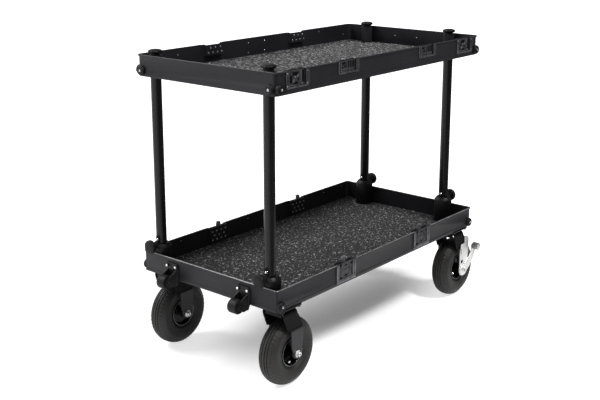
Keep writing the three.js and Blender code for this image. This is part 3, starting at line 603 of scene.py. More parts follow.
def makeTube(name, x, y):
    bore, plugFoot = poleRadius - pole["wall"], poleTop - pole["plugDeep"]
    footEdge, topEdge = pole["footEdge"], pole["topEdge"]
    profile = [(bore, poleFoot), (poleRadius - footEdge, poleFoot), (poleRadius, poleFoot + footEdge),
               (poleRadius, poleTop - topEdge), (poleRadius - topEdge, poleTop),
               (pole["plugBore"], poleTop), (pole["plugBore"], plugFoot), (bore, plugFoot), (bore, poleFoot)]
    tube = turnedPiece(f"tube_{name}", profile, 64, "+z", at(x, y, 0), "poles", tubeCoat, "pole_paint",
                       f"pole_{name}")
    # round window for the snap button
    cutter = bmesh.new()
    radius, deep = pole["window"], pole["windowDeep"]
    addTurned(cutter, [(0, 0), (radius, 0), (radius, deep), (0, deep)], 32, "-x", at(x, y, button["height"]))
    bmesh.ops.recalc_face_normals(cutter, faces=cutter.faces[:])
    tool = makeObject("cutter", cutter)
    cut = tube.modifiers.new("window", "BOOLEAN")
    cut.object, cut.operation, cut.solver = tool, "DIFFERENCE", "EXACT"
    bpy.context.view_layer.update()
    tube.data = bpy.data.meshes.new_from_object(tube.evaluated_get(bpy.context.evaluated_depsgraph_get()))
    tube.modifiers.clear()
    tube.data.set_sharp_from_angle(angle=math.radians(35))
    bpy.data.objects.remove(tool)


def makeBezel(name, x, y):
    # an oval collar wrapped on the tube round the button
    hole = button["bezelHole"]
    mesh = bmesh.new()
    rings = []
    for share, lift in button["bezel"]:
        radius = poleRadius + lift
        wide, high = (hole + share * (button[key] - hole) for key in ("bezelWide", "bezelHigh"))
        rings.append([])
        for a in turns(40):
            turn = wide * math.cos(a) / poleRadius
            spot = at(x - radius * math.cos(turn), y - radius * math.sin(turn),
                      button["height"] + high * math.sin(a))
            rings[-1].append(mesh.verts.new(spot))
    addSkin(mesh, rings, closed=True)
    piece(f"button_bezel_{name}", mesh, "poles", slotBlack, "black_plastic")


def makeKnob(name, knob, direction, x, y, body, node):
    def fluted(radius, distance, angle):
        wave = max(0.0, math.cos(knob["flutes"] * angle))
        return radius - (knob["fluteDeep"] * wave if radius > knob["fluteFrom"] else 0.0)

    turnedPiece(name, knob["profile"], 96, direction, at(x, y, knob["height"]), body, nylon, "black_plastic",
                node, swing=fluted)


for name, (x, y) in poles.items():
    makeTube(name, x, y)
    makeBezel(name, x, y)
    turnedPiece(f"snap_dome_{name}", button["dome"], 36, "-x", at(x, y, button["height"]), f"button_{name}",
                chromePlate, "button_chrome", f"snap_button_{name}")
    makeKnob(f"clamp_head_{name}", clampKnob, facing("x", x), x, y, f"clamp_{name}", f"clamp_knob_{name}")
    makeKnob(f"top_head_{name}", topKnob, "+z", x, y, f"knob_{name}", f"top_knob_{name}")

print("wheels")
tyre = {
    "segments": 288, "crownHalf": 21.5, "crownDrop": 5.2, "crownCurve": 2.1, "crownSteps": 31, "step": 0.7,
    "grooves": (6, 15), "grooveWide": 3.4, "grooveDeep": 3.4, "grooveFlank": 0.6,
    "notches": 48, "notchDeep": 1.7, "notchRadii": (109.6, 118), "notchFrom": 17.5,
    # one side wall from the bead to the shoulder: radius, distance from the middle plane
    "side": [(51, 23.5), (53.4, 25.6), (57, 28.6), (61, 31.4), (62.2, 32.8), (63.6, 32.9), (65, 33.2),
             (71, 35.9), (79, 37.8), (86, 38.2), (92, 37.4), (94, 37.5), (95.2, 36.6), (99, 35), (104, 31.6),
             (107.5, 28.6), (109.4, 27.2), (109.8, 26.4), (112.2, 25.0), (114.2, 22.8)],
}
flange = [(46.2, 24), (46.4, 26.4), (47.6, 28), (49.4, 28.6), (51.2, 28), (52, 26.4), (50.6, 24.6)]
wheel = {
    # the rim: hub, bowl and both flanges
    "rim": [(8.4, -44), (15.5, -44), (17, -42.5), (17, -14), (22, -14.6), (33, -14.4), (41, -15.5), (45, -20),
            *placed(flange, way=-1), *reversed(flange), (45.4, 10), (44, -1), (40, -5.2), (33, -7.4),
            (24, -6.4), (17, -5.4), (17, 42.5), (15.5, 44), (8.4, 44), (8.4, -44)],
    "valve": [(0, -7.5), (4.4, -7.5), (4.4, 4), (3.4, 6), (3.4, 9), (3.0, 9.2), (3.0, 12), (5.0, 12.6),
              (5.0, 24.4), (3.8, 26), (0, 26)],
    "valveReach": 36, "valveTurn": {"fl": 249, "fr": 215, "bl": 205, "br": 215},  # degrees, at rest
    "bearing": [(9.4, 44.05), (15.2, 44.05), (14.8, 44.9), (12, 45.2), (10, 44.8), (9.4, 44.05)],
    # the outer edge of the rim lip, pale: a painted highlight
    "lip": [(49.4, 28.4), (50.2, 28.3), (50.8, 28.5), (50.8, 28.9), (50, 29.1), (49.4, 28.8), (49.4, 28.4)],
}
# Axle ends, counted from the face under the washer, which lies further out over a brake plate.
axle = {
    "face": {-1: 51.3, 1: 57.6}, "starts": (0, 0.3),
    "washer": [(8.3, 0), (12.6, 0), (12.6, 1.4), (8.3, 1.4), (8.3, 0)],
    "nut": [(7.9, 1.45), (10, 1.45), (11.3, 2.4), (11.3, 7), (10, 8), (7.9, 8), (7.9, 1.45)],
    "boltEnd": [(7.8, 10), (6.8, 11.4), (3.4, 11.7), (2.9, 10), (0, 10)],
    # a dark disc in the bolt's dimple: painted shade
    "dimpleShade": [(2.7, 10.02), (2.7, 10.4), (0, 10.4)],
    # painted shade in the gap between the bolt's end and the nut
    "gapShade": [(7.82, 8.05), (9.6, 8.05), (9.4, 8.3), (7.82, 8.3), (7.82, 8.05)],
}


def crownRadius(distance):
    radius = axleHeight - tyre["crownDrop"] * (distance / tyre["crownHalf"]) ** tyre["crownCurve"]
    for groove in tyre["grooves"]:
        inGroove = tyre["grooveWide"] / 2 - abs(distance - groove)
        radius -= tyre["grooveDeep"] * min(1.0, max(0.0, inGroove / tyre["grooveFlank"]))
    return radius


def notched(radius, distance, angle):
    # shoulder blocks: short notches across the edge of the tread
    low, high = tyre["notchRadii"]
    if not low < radius < high or abs(distance) <= tyre["notchFrom"]:
        return radius
    wave = math.cos(tyre["notches"] * angle + (0 if distance > 0 else math.pi))
    return radius - tyre["notchDeep"] * min(1.0, max(0.0, (wave - 0.4) * 5))


def makeTyre(name, out, centre):
    crown = [tyre["crownHalf"] - tyre["step"] * k for k in range(tyre["crownSteps"])]
    section = mirrored(tyre["side"] + [(crownRadius(distance), distance) for distance in crown])
    turnedPiece(f"tyre_{name}", section + section[:1], tyre["segments"], out, centre, f"wheel_{name}",
                tyreRubber, "tyre_rubber", f"caster_tyre_{name}", swing=notched)


def makeRim(name, x, y, out, centre):
    body = f"wheel_{name}"
    turnedPiece(f"rim_{name}", wheel["rim"], 96, out, centre, body, rimEnamel, "rim_paint",
                f"caster_rim_{name}")
    turn = math.radians(wheel["valveTurn"][name])
    reach = wheel["valveReach"]
    spot = at(x + reach * math.cos(turn), y, axleHeight + reach * math.sin(turn))
    turnedPiece(f"valve_{name}", wheel["valve"], 24, out, spot, body, chromePlate, "button_chrome")
    # The rim lips take the pale rim fold: a painted highlight.
    for label, profile, segments, material, slotName in (
        ("bearing_rings", wheel["bearing"], 40, zincPlate, "zinc_steel"),
        ("rim_lips", wheel["lip"], 96, rimHighlightCoat, "rim_paint"),
    ):
        mesh = bmesh.new()
        for side in (-1, 1):
            addTurned(mesh, placed(profile, way=side), segments, out, centre)
        piece(f"{label}_{name}", mesh, body, material, slotName)


def makeAxle(name, centre):
    # washers, hexagon nuts and the domed ends of the bolt, with painted shade as a dark disc in each dimple
    # and a dark ring at each nut
    sx, sy = corners[name]
    face = axle["face"][sx]
    mesh, marks = bmesh.new(), bmesh.new()
    for way, inner in zip((facing("y", sy), facing("y", -sy)), axle["starts"]):
        for profile, segments in (("washer", 40), ("nut", 6)):
            addTurned(mesh, placed(axle[profile], face), segments, way, centre)
        bolt = [(0, inner), (axle["boltEnd"][0][0], inner)] + placed(axle["boltEnd"], face)
        addTurned(mesh, bolt, 32, way, centre)
        addTurned(marks, placed(axle["dimpleShade"], face), 16, way, centre)
        addTurned(marks, placed(axle["gapShade"], face), 32, way, centre)
    piece(f"axle_{name}", mesh, f"swivel_{name}", zincPlate, "zinc_steel", f"caster_axle_{name}")
    piece(f"axle_shade_marks_{name}", marks, f"swivel_{name}", slotBlack, "zinc_steel")


for name, (x, y) in wheels.items():
    centre = at(x, y, axleHeight)
    makeTyre(name, facing("y", y), centre)
    makeRim(name, x, y, facing("y", y), centre)
    makeAxle(name, centre)

print("forks")
fork = {
    "thick": 5, "mid": 48.5, "inset": 2.5, "bend": 10.5, "crown": 280.25,
    "round": 18, "roundFrom": 4, "smooth": 0.4,  # foot of the leg, and how softly its edges change
    # left and right edge of the leg at heights above the axle; the yoke above the step is set in and wider
    "edges": ((0, -18, 18), (14, -24, 24.5), (30, -29, 29.5), (66, -30.5, 30.5), (88, -31, 30.5),
              (93, -46, 28), (118, -55, 22), (134, -62, 12), (147, -65, 3)),
    "step": (88, 93), "crownEdges": (-65, 1.5),
    # flanges folded down from both edges of the crown
    "flanges": ((-65, -60), (-3.5, 1.5)), "flangeHalf": 37, "flangeHeights": (264, 279), "flangeEdge": 2,
    "edge": 0.9,
    # ball race between two dished rings, and the kingpin's nut below it
    "race": [(0, 282.6), (33, 282.6), (33, 286), (31.4, 287), (30.6, 287.8), (30.6, 288.6), (31.6, 289.4),
             (33, 290.2), (33, 292.6), (31.6, 293.8), (0, 293.8)],
    "nut": [(0, 263), (9.6, 263), (11.6, 264.6), (11.6, 277.9), (0, 277.9)],
}


def legMiddle(v):
    low, high = fork["step"]
    return -fork["mid"] + fork["inset"] * min(1.0, max(0.0, (v - low) / (high - low)))


def forkStations():
    # y, z, left and right edge and outward normal of the strip, up one leg to the middle of the crown
    stations = []
    for s in range(13):
        a = math.radians(fork["roundFrom"] + (90 - fork["roundFrom"]) * s / 12)
        half = fork["round"] * math.sin(a)
        stations.append((-fork["mid"], -fork["round"] * math.cos(a) + axleHeight, -half, half, (-1, 0)))
    for (v0, left0, right0), (v1, left1, right1) in zip(fork["edges"], fork["edges"][1:]):
        for t in (0.25, 0.5, 0.75, 1.0):
            v = v0 + (v1 - v0) * t
            ease = t * t * (3 - 2 * t) * fork["smooth"] + t * (1 - fork["smooth"])
            stations.append((legMiddle(v), axleHeight + v, left0 + (left1 - left0) * ease,
                             right0 + (right1 - right0) * ease, (-1, 0)))
    bend = fork["bend"]
    for s in range(1, 7):
        a = math.radians(90 * s / 6)
        stations.append((legMiddle(fork["step"][1]) + bend - bend * math.cos(a),
                         fork["crown"] - bend + bend * math.sin(a), *fork["crownEdges"],
                         (-math.cos(a), math.sin(a))))
    return stations


def addForkStrip(mesh, x, y):
    # one pressed strip: up the near leg, over the crown and down the far leg
    half = fork["thick"] / 2
    near = forkStations()
    far = [(-py, pz, left, right, (-ny, nz)) for py, pz, left, right, (ny, nz) in reversed(near)]
    addSkin(mesh, [[mesh.verts.new(at(x + u, y + py + ny * side * half, pz + nz * side * half))
                    for u, side in ((left, -1), (right, -1), (right, 1), (left, 1))]
                   for py, pz, left, right, (ny, nz) in near + far])


def makeFork(name, x, y):
    kingpin = at(middle(f"caster_plate_{name}")[0], y, 0)
    mesh = bmesh.new()
    addForkStrip(mesh, x, y)
    low, high = fork["flangeHeights"]
    half = fork["flangeHalf"]
    for left, right in fork["flanges"]:
        addBlock(mesh, (x + left, y - half, low), (x + right, y + half, high), fork["flangeEdge"], 3)
    addTurned(mesh, fork["race"], 56, "+z", kingpin)
    addTurned(mesh, fork["nut"], 6, "+z", kingpin)
    yoke = piece(f"fork_{name}", mesh, f"swivel_{name}", forkSteel, "caster_paint", f"caster_fork_{name}")
    # the legs carry the grey paint; above the step the yoke takes the near-black, a painted shade under the
    # tray
    yoke.data.materials.append(yokeShadeBlack)
    for face in yoke.data.polygons:
        if face.center.z > (axleHeight + sum(fork["step"]) / 2) * mm:
            face.material_index = 1
    softenEdges(yoke, "rolled edges", fork["edge"], 50, True)


for name, (x, y) in wheels.items():
    makeFork(name, x, y)

print("brake pedals")
pedal = {
    "x": 70, "height": 84,  # place from the axle
    "profile": [(0, 60), (14.3, 60), (14.3, 67.4), (13.4, 68.2), (13.4, 69.6), (14.3, 70.4), (14.3, 82.4),
                (13.2, 84.1), (0, 84.2)],
    "ribs": 11, "ribHigh": 0.9, "ribFrom": 14,
    # square hole and stop slot in the fixed plate, as dark inlays of painted shade: x from and to, height
    # from and to
    "holes": ((-19, -7, 147, 160), (-20, -17, 186, 210)), "holeFaces": (319.9, 320.2),
}


def ribbed(radius, distance, angle):
    wave = 0.5 + 0.5 * math.cos(pedal["ribs"] * angle)
    return radius + (pedal["ribHigh"] * wave if radius > pedal["ribFrom"] else 0.0)


def makePedal(name, x, y, sy):
    spot = at(x + pedal["x"], y, axleHeight + pedal["height"])
    turnedPiece(f"pedal_sleeve_{name}", pedal["profile"], 132, facing("y", sy), spot, f"brake_{name}",
                wornZinc, "zinc_steel", swing=ribbed)
    mesh = bmesh.new()
    for x0, x1, z0, z1 in pedal["holes"]:
        addBar(mesh, x + x0, x + x1, sy, *pedal["holeFaces"], z0, z1)
    piece(f"brake_marks_{name}", mesh, f"swivel_{name}", slotBlack, "zinc_steel")


for name in ("fr", "br"):
    makePedal(name, *wheels[name], corners[name][1])

print("load rollers")
roller = {
    # bush, face and rubber of one half, from its pin outwards
    "half": [(0, 24.3), (7, 24.3), (8, 23.4), (8, 21.6), (5, 21.6), (5, 18), (9, 18), (10, 16.8), (17, 16.8),
             (18, 18), (21.5, 18), (23.8, 17), (25, 14.6), (25, 5.5), (24.3, 4.8), (24.3, 3.2), (25, 2.5),
             (25, 0)],
    "bolt": [(4.7, 7.9), (4.7, 8.6), (4.0, 9.8), (2.7, 10.7), (1.3, 11.1), (0, 11.2)],
    "boltX": -607.8, "boltHeight": 348, "boltSpread": 21,
}
for name in ("f", "b"):
    x, y, z = middle(f"load_roller_{name}")
    turnedPiece(f"roller_wheel_{name}", mirrored(roller["half"]), 72, "-y", at(x, y, z), f"roller_{name}",
                solidRubber, "roller_rubber", f"load_roller_{name}")
    mesh = bmesh.new()
    for side in (-1, 1):
        spot = at(roller["boltX"], y + side * roller["boltSpread"], roller["boltHeight"])
        addTurned(mesh, roller["bolt"], 32, "-x", spot)
    piece(f"roller_bolts_{name}", mesh, "base", zincPlate, "zinc_steel")

print("bumpers")
bumper = {
    "height": {"lower": 318, "upper": 1034}, "x": 590, "y": 296, "proud": 12.4,
    # rubber disc and its screw, counted from the disc's front; the foot stands in the wall
    "foot": [(0, -1), (17.4, -1)],
    "disc": [(17.4, -5.5), (16.5, -2.8), (14.4, -0.8), (11.9, 0), (7.6, 0), (6.8, -0.8), (6.6, -2), (0, -2)],
    "screw": [(4.2, -1.9), (4.2, -0.9), (3.4, 0.1), (1.9, 0.5), (1.6, -0.6), (0, -0.6)],
}
for deck, height in bumper["height"].items():
    rubber, screws = bmesh.new(), bmesh.new()
    for sx, sy in corners.values():
        spots = [(at(sx * bumper["x"], sy * (wall["innerY"] + wall["thick"]), height), facing("y", sy))]
        if deck == "upper" or sx > 0:  # the rollers stand at the lower tray's left end
            endWall = sx * (wall["innerX"] + wall["thick"])
            spots.append((at(endWall, sy * bumper["y"], height), facing("x", sx)))
        for spot, out in spots:
            addTurned(rubber, bumper["foot"] + placed(bumper["disc"], bumper["proud"]), 48, out, spot)
            addTurned(screws, placed(bumper["screw"], bumper["proud"]), 28, out, spot)
    piece(f"{deck}_bumpers", rubber, bodies[deck], solidRubber, "tray_paint")
    piece(f"{deck}_bumper_screws", screws, bodies[deck], zincPlate, "zinc_steel")

print("latches and rivets")
latch = {
    "frames": ((54, 2), (43.6, 5)),  # half width and foot of the outer and inner bead
    "bead": 1.15, "frameFace": 322.3, "frameCorner": 5, "frameTop": 1.5,
    "hole": 21.6, "plateHalf": 41.5, "plateNear": 317.4, "plateGaps": (0.5, 2),
    # heads as radius and height
    "head": (2.7, 1.1), "headFace": 322.2, "headX": 49, "headInset": 9, "tail": (3.9, 1.7),
    "tailFace": 302.1, "tailRows": ((-35, -12, 12, 35), (-24, 0, 27)),  # rows of tails take turns
    # the slots and bores are painted shade, drawn in place of holes
    "slotFaces": (-0.2, 0.4),  # slots and bores are thin dark inlays in the face of a plate
}


def bore(radius):
    low, high = latch["slotFaces"]
    return [(0, low), (radius, low), (radius, high), (0, high)]


# Foot is the height where a dish begins, and back the face of its plate. Plates, frames and sills are
# bars: x from and to, y from and to, height above the foot from and to, edge. Slots are x from and to
# and height from and to. Turned details are a layer, x, height, segments and a profile on the plate.
dishKinds = {
    # cover plate nearly flush with the wall, round hole for the wing, drilled and slotted
    "latch": {
        "foot": 313, "back": 320.2, "tails": (14, 31, 48),
        "plates": [(-24, 24, 310, 313, 9, 57, 0)],
        "frames": [(-55, -45, 321.7, 322.6, 2, 62, 0.5), (37, 42, 319.6, 322.6, 2, 62, 0.5),
                   (47, 54, 321.7, 322.6, 2, 62, 0.5), (-55, 54, 318.3, 321.8, -7.5, -0.2, 0.7)],
        "slots": [(-32.5, -29.5, 20, 26), (-32.5, -29.5, 31, 37), (-32.5, -29.5, 42, 48), (30, 32, 12, 38)],
        "turned": [("slots", -31, 9.5, 20, bore(6)), ("slots", -31, 57, 20, bore(6)),
                   ("slots", 29, 52, 20, bore(5))],
    },
    # keeper plate with a row of upright slots, two bars below them and a round boss
    "keeper": {
        "foot": 1043, "back": 316, "tails": (14, 32),
        "plates": [(-41, 41, 312, 316, 4, 42.5, 0.8)],
        "frames": [(-36, 36, 315.8, 318.4, v, v + 2.4, 0.6) for v in (6.5, 13)],
        "slots": [(-30, -12, 31, 38), (-20, -8, 22, 27), (-34, -28, 18, 24)]
        + [(u, u + 5, 19, 40.5) for u in (2, 12, 22, 31)],
        "turned": [("plates", -2, 12.5, 28, [(0, -0.2), (6, -0.2), (6.6, 1), (5.6, 2.6), (3, 3), (0, 3)])],
    },
    # butterfly lock: a boss with two wings, bars beside and below it, and a painted sill, because the
    # pressed dish reaches lower than the plate that covers it
    "lock": {
        "foot": 1030, "back": 315, "tails": (14, 31, 48),
        "plates": [(-41, 41, 311, 315, -2, 55.5, 0.8)],
        "frames": [(u, u + 3, 314.8, 317.4, 13, 52.5, 0.6) for u in (16, 22.5)]
        + [(-40, 40, 314.5, 318, v, v + 2.4, 0.4) for v in (2, 7.4)],
        "sills": [(-42.5, 42.5, 314, 321.9, -9, 2, 0.3)],
        "slots": [(-37, -20, 17, 40), (-18, 10, 39, 50), (-14, 8, 11, 18), (27, 38, 14, 52), (8, 14, 22, 32)],
        "turned": [("plates", -4, 29, 32, [(0, -0.2), (9, -0.2), (9.6, 1), (8.6, 3), (7, 4.4), (3, 4.8),
                                           (2.6, 3.6), (0, 3.6)])],
    },
}
butterfly = {"x": -4, "height": 29, "turns": (35, 215), "rivet": (30, 11), "head": (3.4, 1.8),
             "wing": ((6, -4), (16, -5.5), (18, -3), (18, 3), (16, 5.5), (6, 4)), "faces": (0.4, 2.8)}


def addFrame(mesh, x, sy, low, high):
    # double bead round the plate and round its pocket, open at the rim
    corner = latch["frameCorner"]
    for half, foot in latch["frames"]:
        path = [(x - half, high - latch["frameTop"]), (x - half, low + foot + corner)]
        path += [(x - half + corner - u, low + foot + corner - v) for u, v in arc(0, 0, corner, 0, 90, 3)[1:]]
        path += [(2 * x - px, pz) for px, pz in reversed(path)]
        addRod(mesh, [(px, sy * latch["frameFace"], pz) for px, pz in path], latch["bead"], 8)


def addHoledPlate(mesh, x, sy, low, high, holeHeight, back):
    # plate across Y with a round hole
    half, near = latch["plateHalf"], latch["plateNear"]
    angles = turns(48) + [math.atan2(z - holeHeight, sx * half) % (2 * math.pi)
                          for sx in (-1, 1) for z in (low, high)]
    loops = []
    for a in sorted(angles):
        c, s = math.cos(a), math.sin(a)
        reach = min(half / max(abs(c), 1e-6), abs((high if s > 0 else low) - holeHeight) / max(abs(s), 1e-6))
        section = ((latch["hole"], near), (reach, near), (reach, back), (latch["hole"], back))
        loops.append([mesh.verts.new(at(x + c * size, sy * depth, holeHeight + s * size))
                      for size, depth in section])
    addSkin(mesh, loops, closed=True)


def addButterfly(frames, rivets, x, sy, low, back):
    for turn in butterfly["turns"]:
        c, s = math.cos(math.radians(turn)), math.sin(math.radians(turn))
        outline = [(x + butterfly["x"] + px * c - pz * s, low + butterfly["height"] + px * s + pz * c)
                   for px, pz in butterfly["wing"]]
        addPlate(frames, outline, *(sy * (back + y) for y in butterfly["faces"]), 0.5)
    u, v = butterfly["rivet"]
    addRivet(rivets, at(x + u, sy * back, low + v), facing("y", sy), *butterfly["head"])


def addDish(layers, kind, x, sy, high):
    shape = dishKinds[kind]
    low, back, out = shape["foot"], shape["back"], facing("y", sy)
    addFrame(layers["frames"], x, sy, low, high)
    if kind == "latch":
        under, over = latch["plateGaps"]
        addHoledPlate(layers["plates"], x, sy, low + under, high - over, middle("latch_wing_fl")[2], back)
    if kind == "lock":
        addButterfly(layers["frames"], layers["rivets"], x, sy, low, back)
    for layer in ("plates", "frames", "sills"):
        for x0, x1, near, far, z0, z1, edge in shape.get(layer, ()):
            addBar(layers[layer], x + x0, x + x1, sy, near, far, low + z0, low + z1, edge)
    for layer, u, v, segments, profile in shape["turned"]:
        addTurned(layers[layer], profile, segments, out, at(x + u, sy * back, low + v))
    # slots: dark inlays of painted shade
    faces = [back + y for y in latch["slotFaces"]]
    for x0, x1, z0, z1 in shape["slots"]:
        addBar(layers["slots"], x + x0, x + x1, sy, *faces, low + z0, low + z1)
    heads = layers["rivets" if kind == "lock" else "plates"]
    for u in (-latch["headX"], latch["headX"]):
        for z in (low + latch["headInset"], high - latch["headInset"]):
            addRivet(heads, at(x + u, sy * latch["headFace"], z), out, *latch["head"])
    # the tail side of the rivets inside the tray, on the back of the pressed pocket
    for row, v in enumerate(shape["tails"]):
        for u in latch["tailRows"][row % 2]:
            spot = at(x + u, sy * latch["tailFace"], low + v)
            addRivet(layers["rivets"], spot, facing("y", -sy), *latch["tail"])


# Loose rivets on the inside of the walls, as place, height, radius and head: x on the back wall, and y
# on the right end wall.
looseRivets = {
    "lower": [(x, 362, 2.7, 1.4) for x in (-560, -430, -60, 60, 430, 560)],
    "upper": [(x, z, 3.4, 1.6) for x, z in ((-44, 1070), (-44, 1032), (50, 1070), (50, 1032), (-417, 1064),
                                            (392, 1074), (560, 1046))],
    "upperEnd": [(y, 1056, 2.7, 1.4) for y in (74, -34)],
}
for deck in ("lower", "upper"):
    layers = {layer: bmesh.new() for layer in ("frames", "plates", "slots", "rivets", "sills")}
    for x in dish["cases"]:
        for sy in (-1, 1):
            addDish(layers, "latch" if deck == "lower" else "keeper", x, sy, rimTops[deck])
    if deck == "upper":
        for x in dish["locks"]:
            addDish(layers, "lock", x, -1, rimTops[deck])
        for y, z, *head in looseRivets["upperEnd"]:
            addRivet(layers["rivets"], at(wall["innerX"], y, z), "-x", *head)
    for x, z, *head in looseRivets[deck]:
        addRivet(layers["rivets"], at(x, wall["innerY"], z), "-y", *head)
    # The frames are paler than the plates: a painted highlight.
    for layer, material in (("frames", frameHighlightSteel), ("plates", latchSteel), ("slots", slotBlack)):
        piece(f"{deck}_latch_{layer}", layers[layer], bodies[deck], material, "latch_steel")
    if deck == "upper":
        piece("upper_latch_sills", layers["sills"], bodies[deck], trayCoat, "tray_paint")
    piece(f"{deck}_rivets", layers["rivets"], bodies[deck], rivetAluminium, "latch_steel")

# Wing grips: flat lobes that nearly fill the round hole of the cover plate, a boss and two folded tabs.
wing = {
    "lobe": 20.9, "flat": 6.5, "flatFrom": 0.88, "lobeFaces": (317.1, 318.9), "tabFaces": (316.8, 319.4),
    "lobeEdge": 0.4, "tabEdge": 0.5,
    "boss": [(0, 316.6), (10.5, 316.6), (10.5, 318.4), (9.2, 319.8), (3.4, 320.3), (2.8, 319.2), (0, 319.2)],
    "tab": ((9.5, -5), (18, -8.5), (19.6, -6), (19.6, 6), (18, 8.5), (9.5, 5)),
}


def makeWingGrip(name, sy):
    x, _, z = middle(f"latch_wing_{name}")
    lobes = []
    for a in turns(64):
        flat = max(0.0, abs(math.sin(a)) - wing["flatFrom"]) / (1 - wing["flatFrom"])
        reach = wing["lobe"] - wing["flat"] * flat
        lobes.append((x + reach * math.cos(a), z + reach * math.sin(a)))
    mesh = bmesh.new()
    addPlate(mesh, lobes, *(sy * y for y in wing["lobeFaces"]), wing["lobeEdge"])
    addTurned(mesh, wing["boss"], 36, facing("y", sy), at(x, 0, z))
    for way in (-1, 1):
        tab = [(x + way * px, z + pz) for px, pz in wing["tab"]]
        addPlate(mesh, tab, *(sy * y for y in wing["tabFaces"]), wing["tabEdge"])
    piece(f"wing_grip_{name}", mesh, f"wing_{name}", latchSteel, "latch_steel")


for name, (_, sy) in corners.items():
    makeWingGrip(name, sy)

print("camera and light")
view = {"place": (-2.874, -2.306, 1.578), "azimuth": 50.09, "pitch": -13.78, "focalPx": 994, "shift": -0.08,
        "sensorMm": 36, "imagePx": 600}
camera = bpy.data.objects.new("camera", bpy.data.cameras.new("camera"))
scene.collection.objects.link(camera)
scene.camera = camera
azimuth, pitch = math.radians(view["azimuth"]), math.radians(view["pitch"])
ahead = Vector((math.sin(azimuth) * math.cos(pitch), math.cos(azimuth) * math.cos(pitch), math.sin(pitch)))
camera.location = view["place"]
camera.rotation_mode = "QUATERNION"
camera.rotation_quaternion = ahead.to_track_quat("-Z", "Y")
camera.data.sensor_width = view["sensorMm"]
camera.data.lens = view["focalPx"] * view["sensorMm"] / view["imagePx"]
camera.data.shift_y = view["shift"]
camera.data.clip_start, camera.data.clip_end = 0.05, 100

white = (1, 1, 1, 1)
light = {
    "ambient": 0.36,
    # what gloss sees: a bright cove one way and a shaded room the other, with a soft change between
    "bright": 1.0, "shaded": 0.18, "towards": (-0.64, 0.77, 0.0), "change": (-0.3, 0.55),
    "front": {"power": 1.95, "angle": 10, "from": (0.0, -0.64, 1.0)},
    "cove": {"power": 1.3, "angle": 24, "from": (-0.45, 0.8, 1.0)},
    "floorSize": 16, "floorDrop": 0.5, "mottle": 0.6,
    "paper": {"centre": (0.1, 0.6, 0.0), "edge": (1.5, 1.9)},
    # the floor's own light: its strength under the cart and in the open, and the oval between them
    "lift": {"strength": (0.145, 0.66), "gloss": 0.42, "centre": (0.17, 0.03, 0.0), "size": (0.54, 0.21, 1.0),
             "ring": (0.5, 1.5)},
}


def coveShare(tree, direction, after):
    # how far a direction points to the cove
    toCove = vectorNode(tree, "DOT_PRODUCT", direction, light["towards"])
    return remap(tree, toCove, light["change"], after, "SMOOTHSTEP")


def makeWorld():
    scene.view_settings.view_transform = "Standard"
    scene.world = bpy.data.worlds.new("studio")
    scene.world.use_nodes = True
    tree = scene.world.node_tree
    tree.nodes.clear()
    rays = addNode(tree, "LightPath").outputs
    # Gloss sees a white cove at the left and back and a darker room at the right and front.
    direction = addNode(tree, "TexCoord").outputs["Generated"]
    cove = coveShare(tree, direction, (light["shaded"], light["bright"]))
    ambient = addNode(tree, "Background", {"Color": white, "Strength": light["ambient"]})
    mirrorRoom = addNode(tree, "Background", {"Color": white}, {"Strength": cove})
    backdrop = addNode(tree, "Background", {"Color": white, "Strength": 1.0})
    withGloss = addNode(tree, "MixShader",
                        links={0: rays["Is Glossy Ray"], 1: ambient.outputs[0], 2: mirrorRoom.outputs[0]})
    withCamera = addNode(tree, "MixShader",
                         links={0: rays["Is Camera Ray"], 1: withGloss.outputs[0], 2: backdrop.outputs[0]})
    addNode(tree, "OutputWorld", links={"Surface": withCamera.outputs[0]})


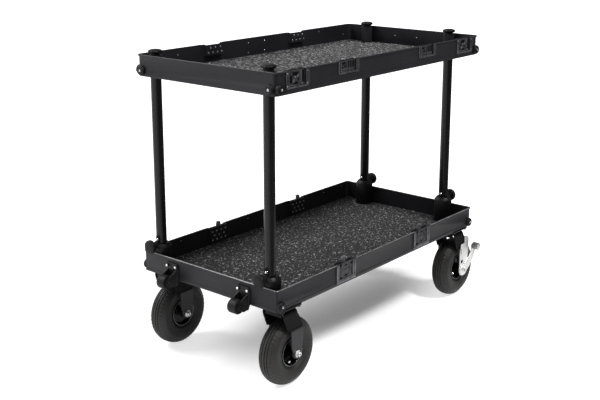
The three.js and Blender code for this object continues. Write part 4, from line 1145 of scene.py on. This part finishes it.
# Matt white paper, faintly mottled, so it takes the shadow and hardly mirrors the wheels.
def floorMaterial():
    material, tree, shader, place = newMaterial("matt white studio floor")
    surface = shader.outputs["BSDF"].links[0].to_socket
    mottle = addNode(tree, "TexNoise", {"Scale": light["mottle"], "Detail": 2.0}, {"Vector": place})
    rays = addNode(tree, "LightPath").outputs
    # A little light of its own, for the camera and for gloss only, keeps the open floor white.
    # It is strongest on the open floor and weak under the cart, where the shadow has to stay.
    lift = light["lift"]
    mirrorShare = mathNode(tree, "MULTIPLY", rays["Is Glossy Ray"], lift["gloss"])
    lit = mathNode(tree, "MAXIMUM", rays["Is Camera Ray"], mirrorShare)
    offCentre = vectorNode(tree, "SUBTRACT", place, lift["centre"])
    ring = vectorNode(tree, "LENGTH", vectorNode(tree, "DIVIDE", offCentre, lift["size"]))
    rise = remap(tree, ring, lift["ring"], lift["strength"], "SMOOTHSTEP")
    setNode(tree, shader, {"Roughness": 0.8, "Specular IOR Level": 0.1, "Emission Color": white}, {
        "Base Color": blendColours(tree, mottle.outputs["Fac"], (0, "#ececec"), (1, "#f0f0f0")),
        "Emission Strength": mathNode(tree, "MULTIPLY", lit, rise),
    })
    # Gloss sees the floor end at the edge of the paper, except towards the cove.
    paper = light["paper"]
    reach = vectorNode(tree, "LENGTH", vectorNode(tree, "SUBTRACT", place, paper["centre"]))
    beyond = remap(tree, reach, paper["edge"], (0, 1), "SMOOTHSTEP")
    away = coveShare(tree, vectorNode(tree, "NORMALIZE", place), (1.0, 0.0))
    offPaper = mathNode(tree, "MULTIPLY", beyond, away)
    hidden = mathNode(tree, "MULTIPLY", offPaper, rays["Is Glossy Ray"])
    room = addNode(tree, "Emission", {"Color": white, "Strength": light["shaded"]})
    seen = addNode(tree, "MixShader", links={0: hidden, 1: shader.outputs[0], 2: room.outputs[0]})
    tree.links.new(seen.outputs[0], surface)
    return material


makeWorld()
floorMesh = bmesh.new()
bmesh.ops.create_grid(floorMesh, x_segments=1, y_segments=1, size=light["floorSize"])
floor = makeObject("studio_floor", floorMesh)
floor.location = (0, 0, -light["floorDrop"] * mm)
floor.data.materials.append(floorMaterial())

for name in ("front", "cove"):
    lamp = light[name]
    data = bpy.data.lights.new(name, "SUN")
    data.energy, data.angle = lamp["power"], math.radians(lamp["angle"])
    thing = bpy.data.objects.new(name, data)
    thing.rotation_mode = "QUATERNION"
    thing.rotation_quaternion = Vector(lamp["from"]).to_track_quat("Z", "Y")
    scene.collection.objects.link(thing)
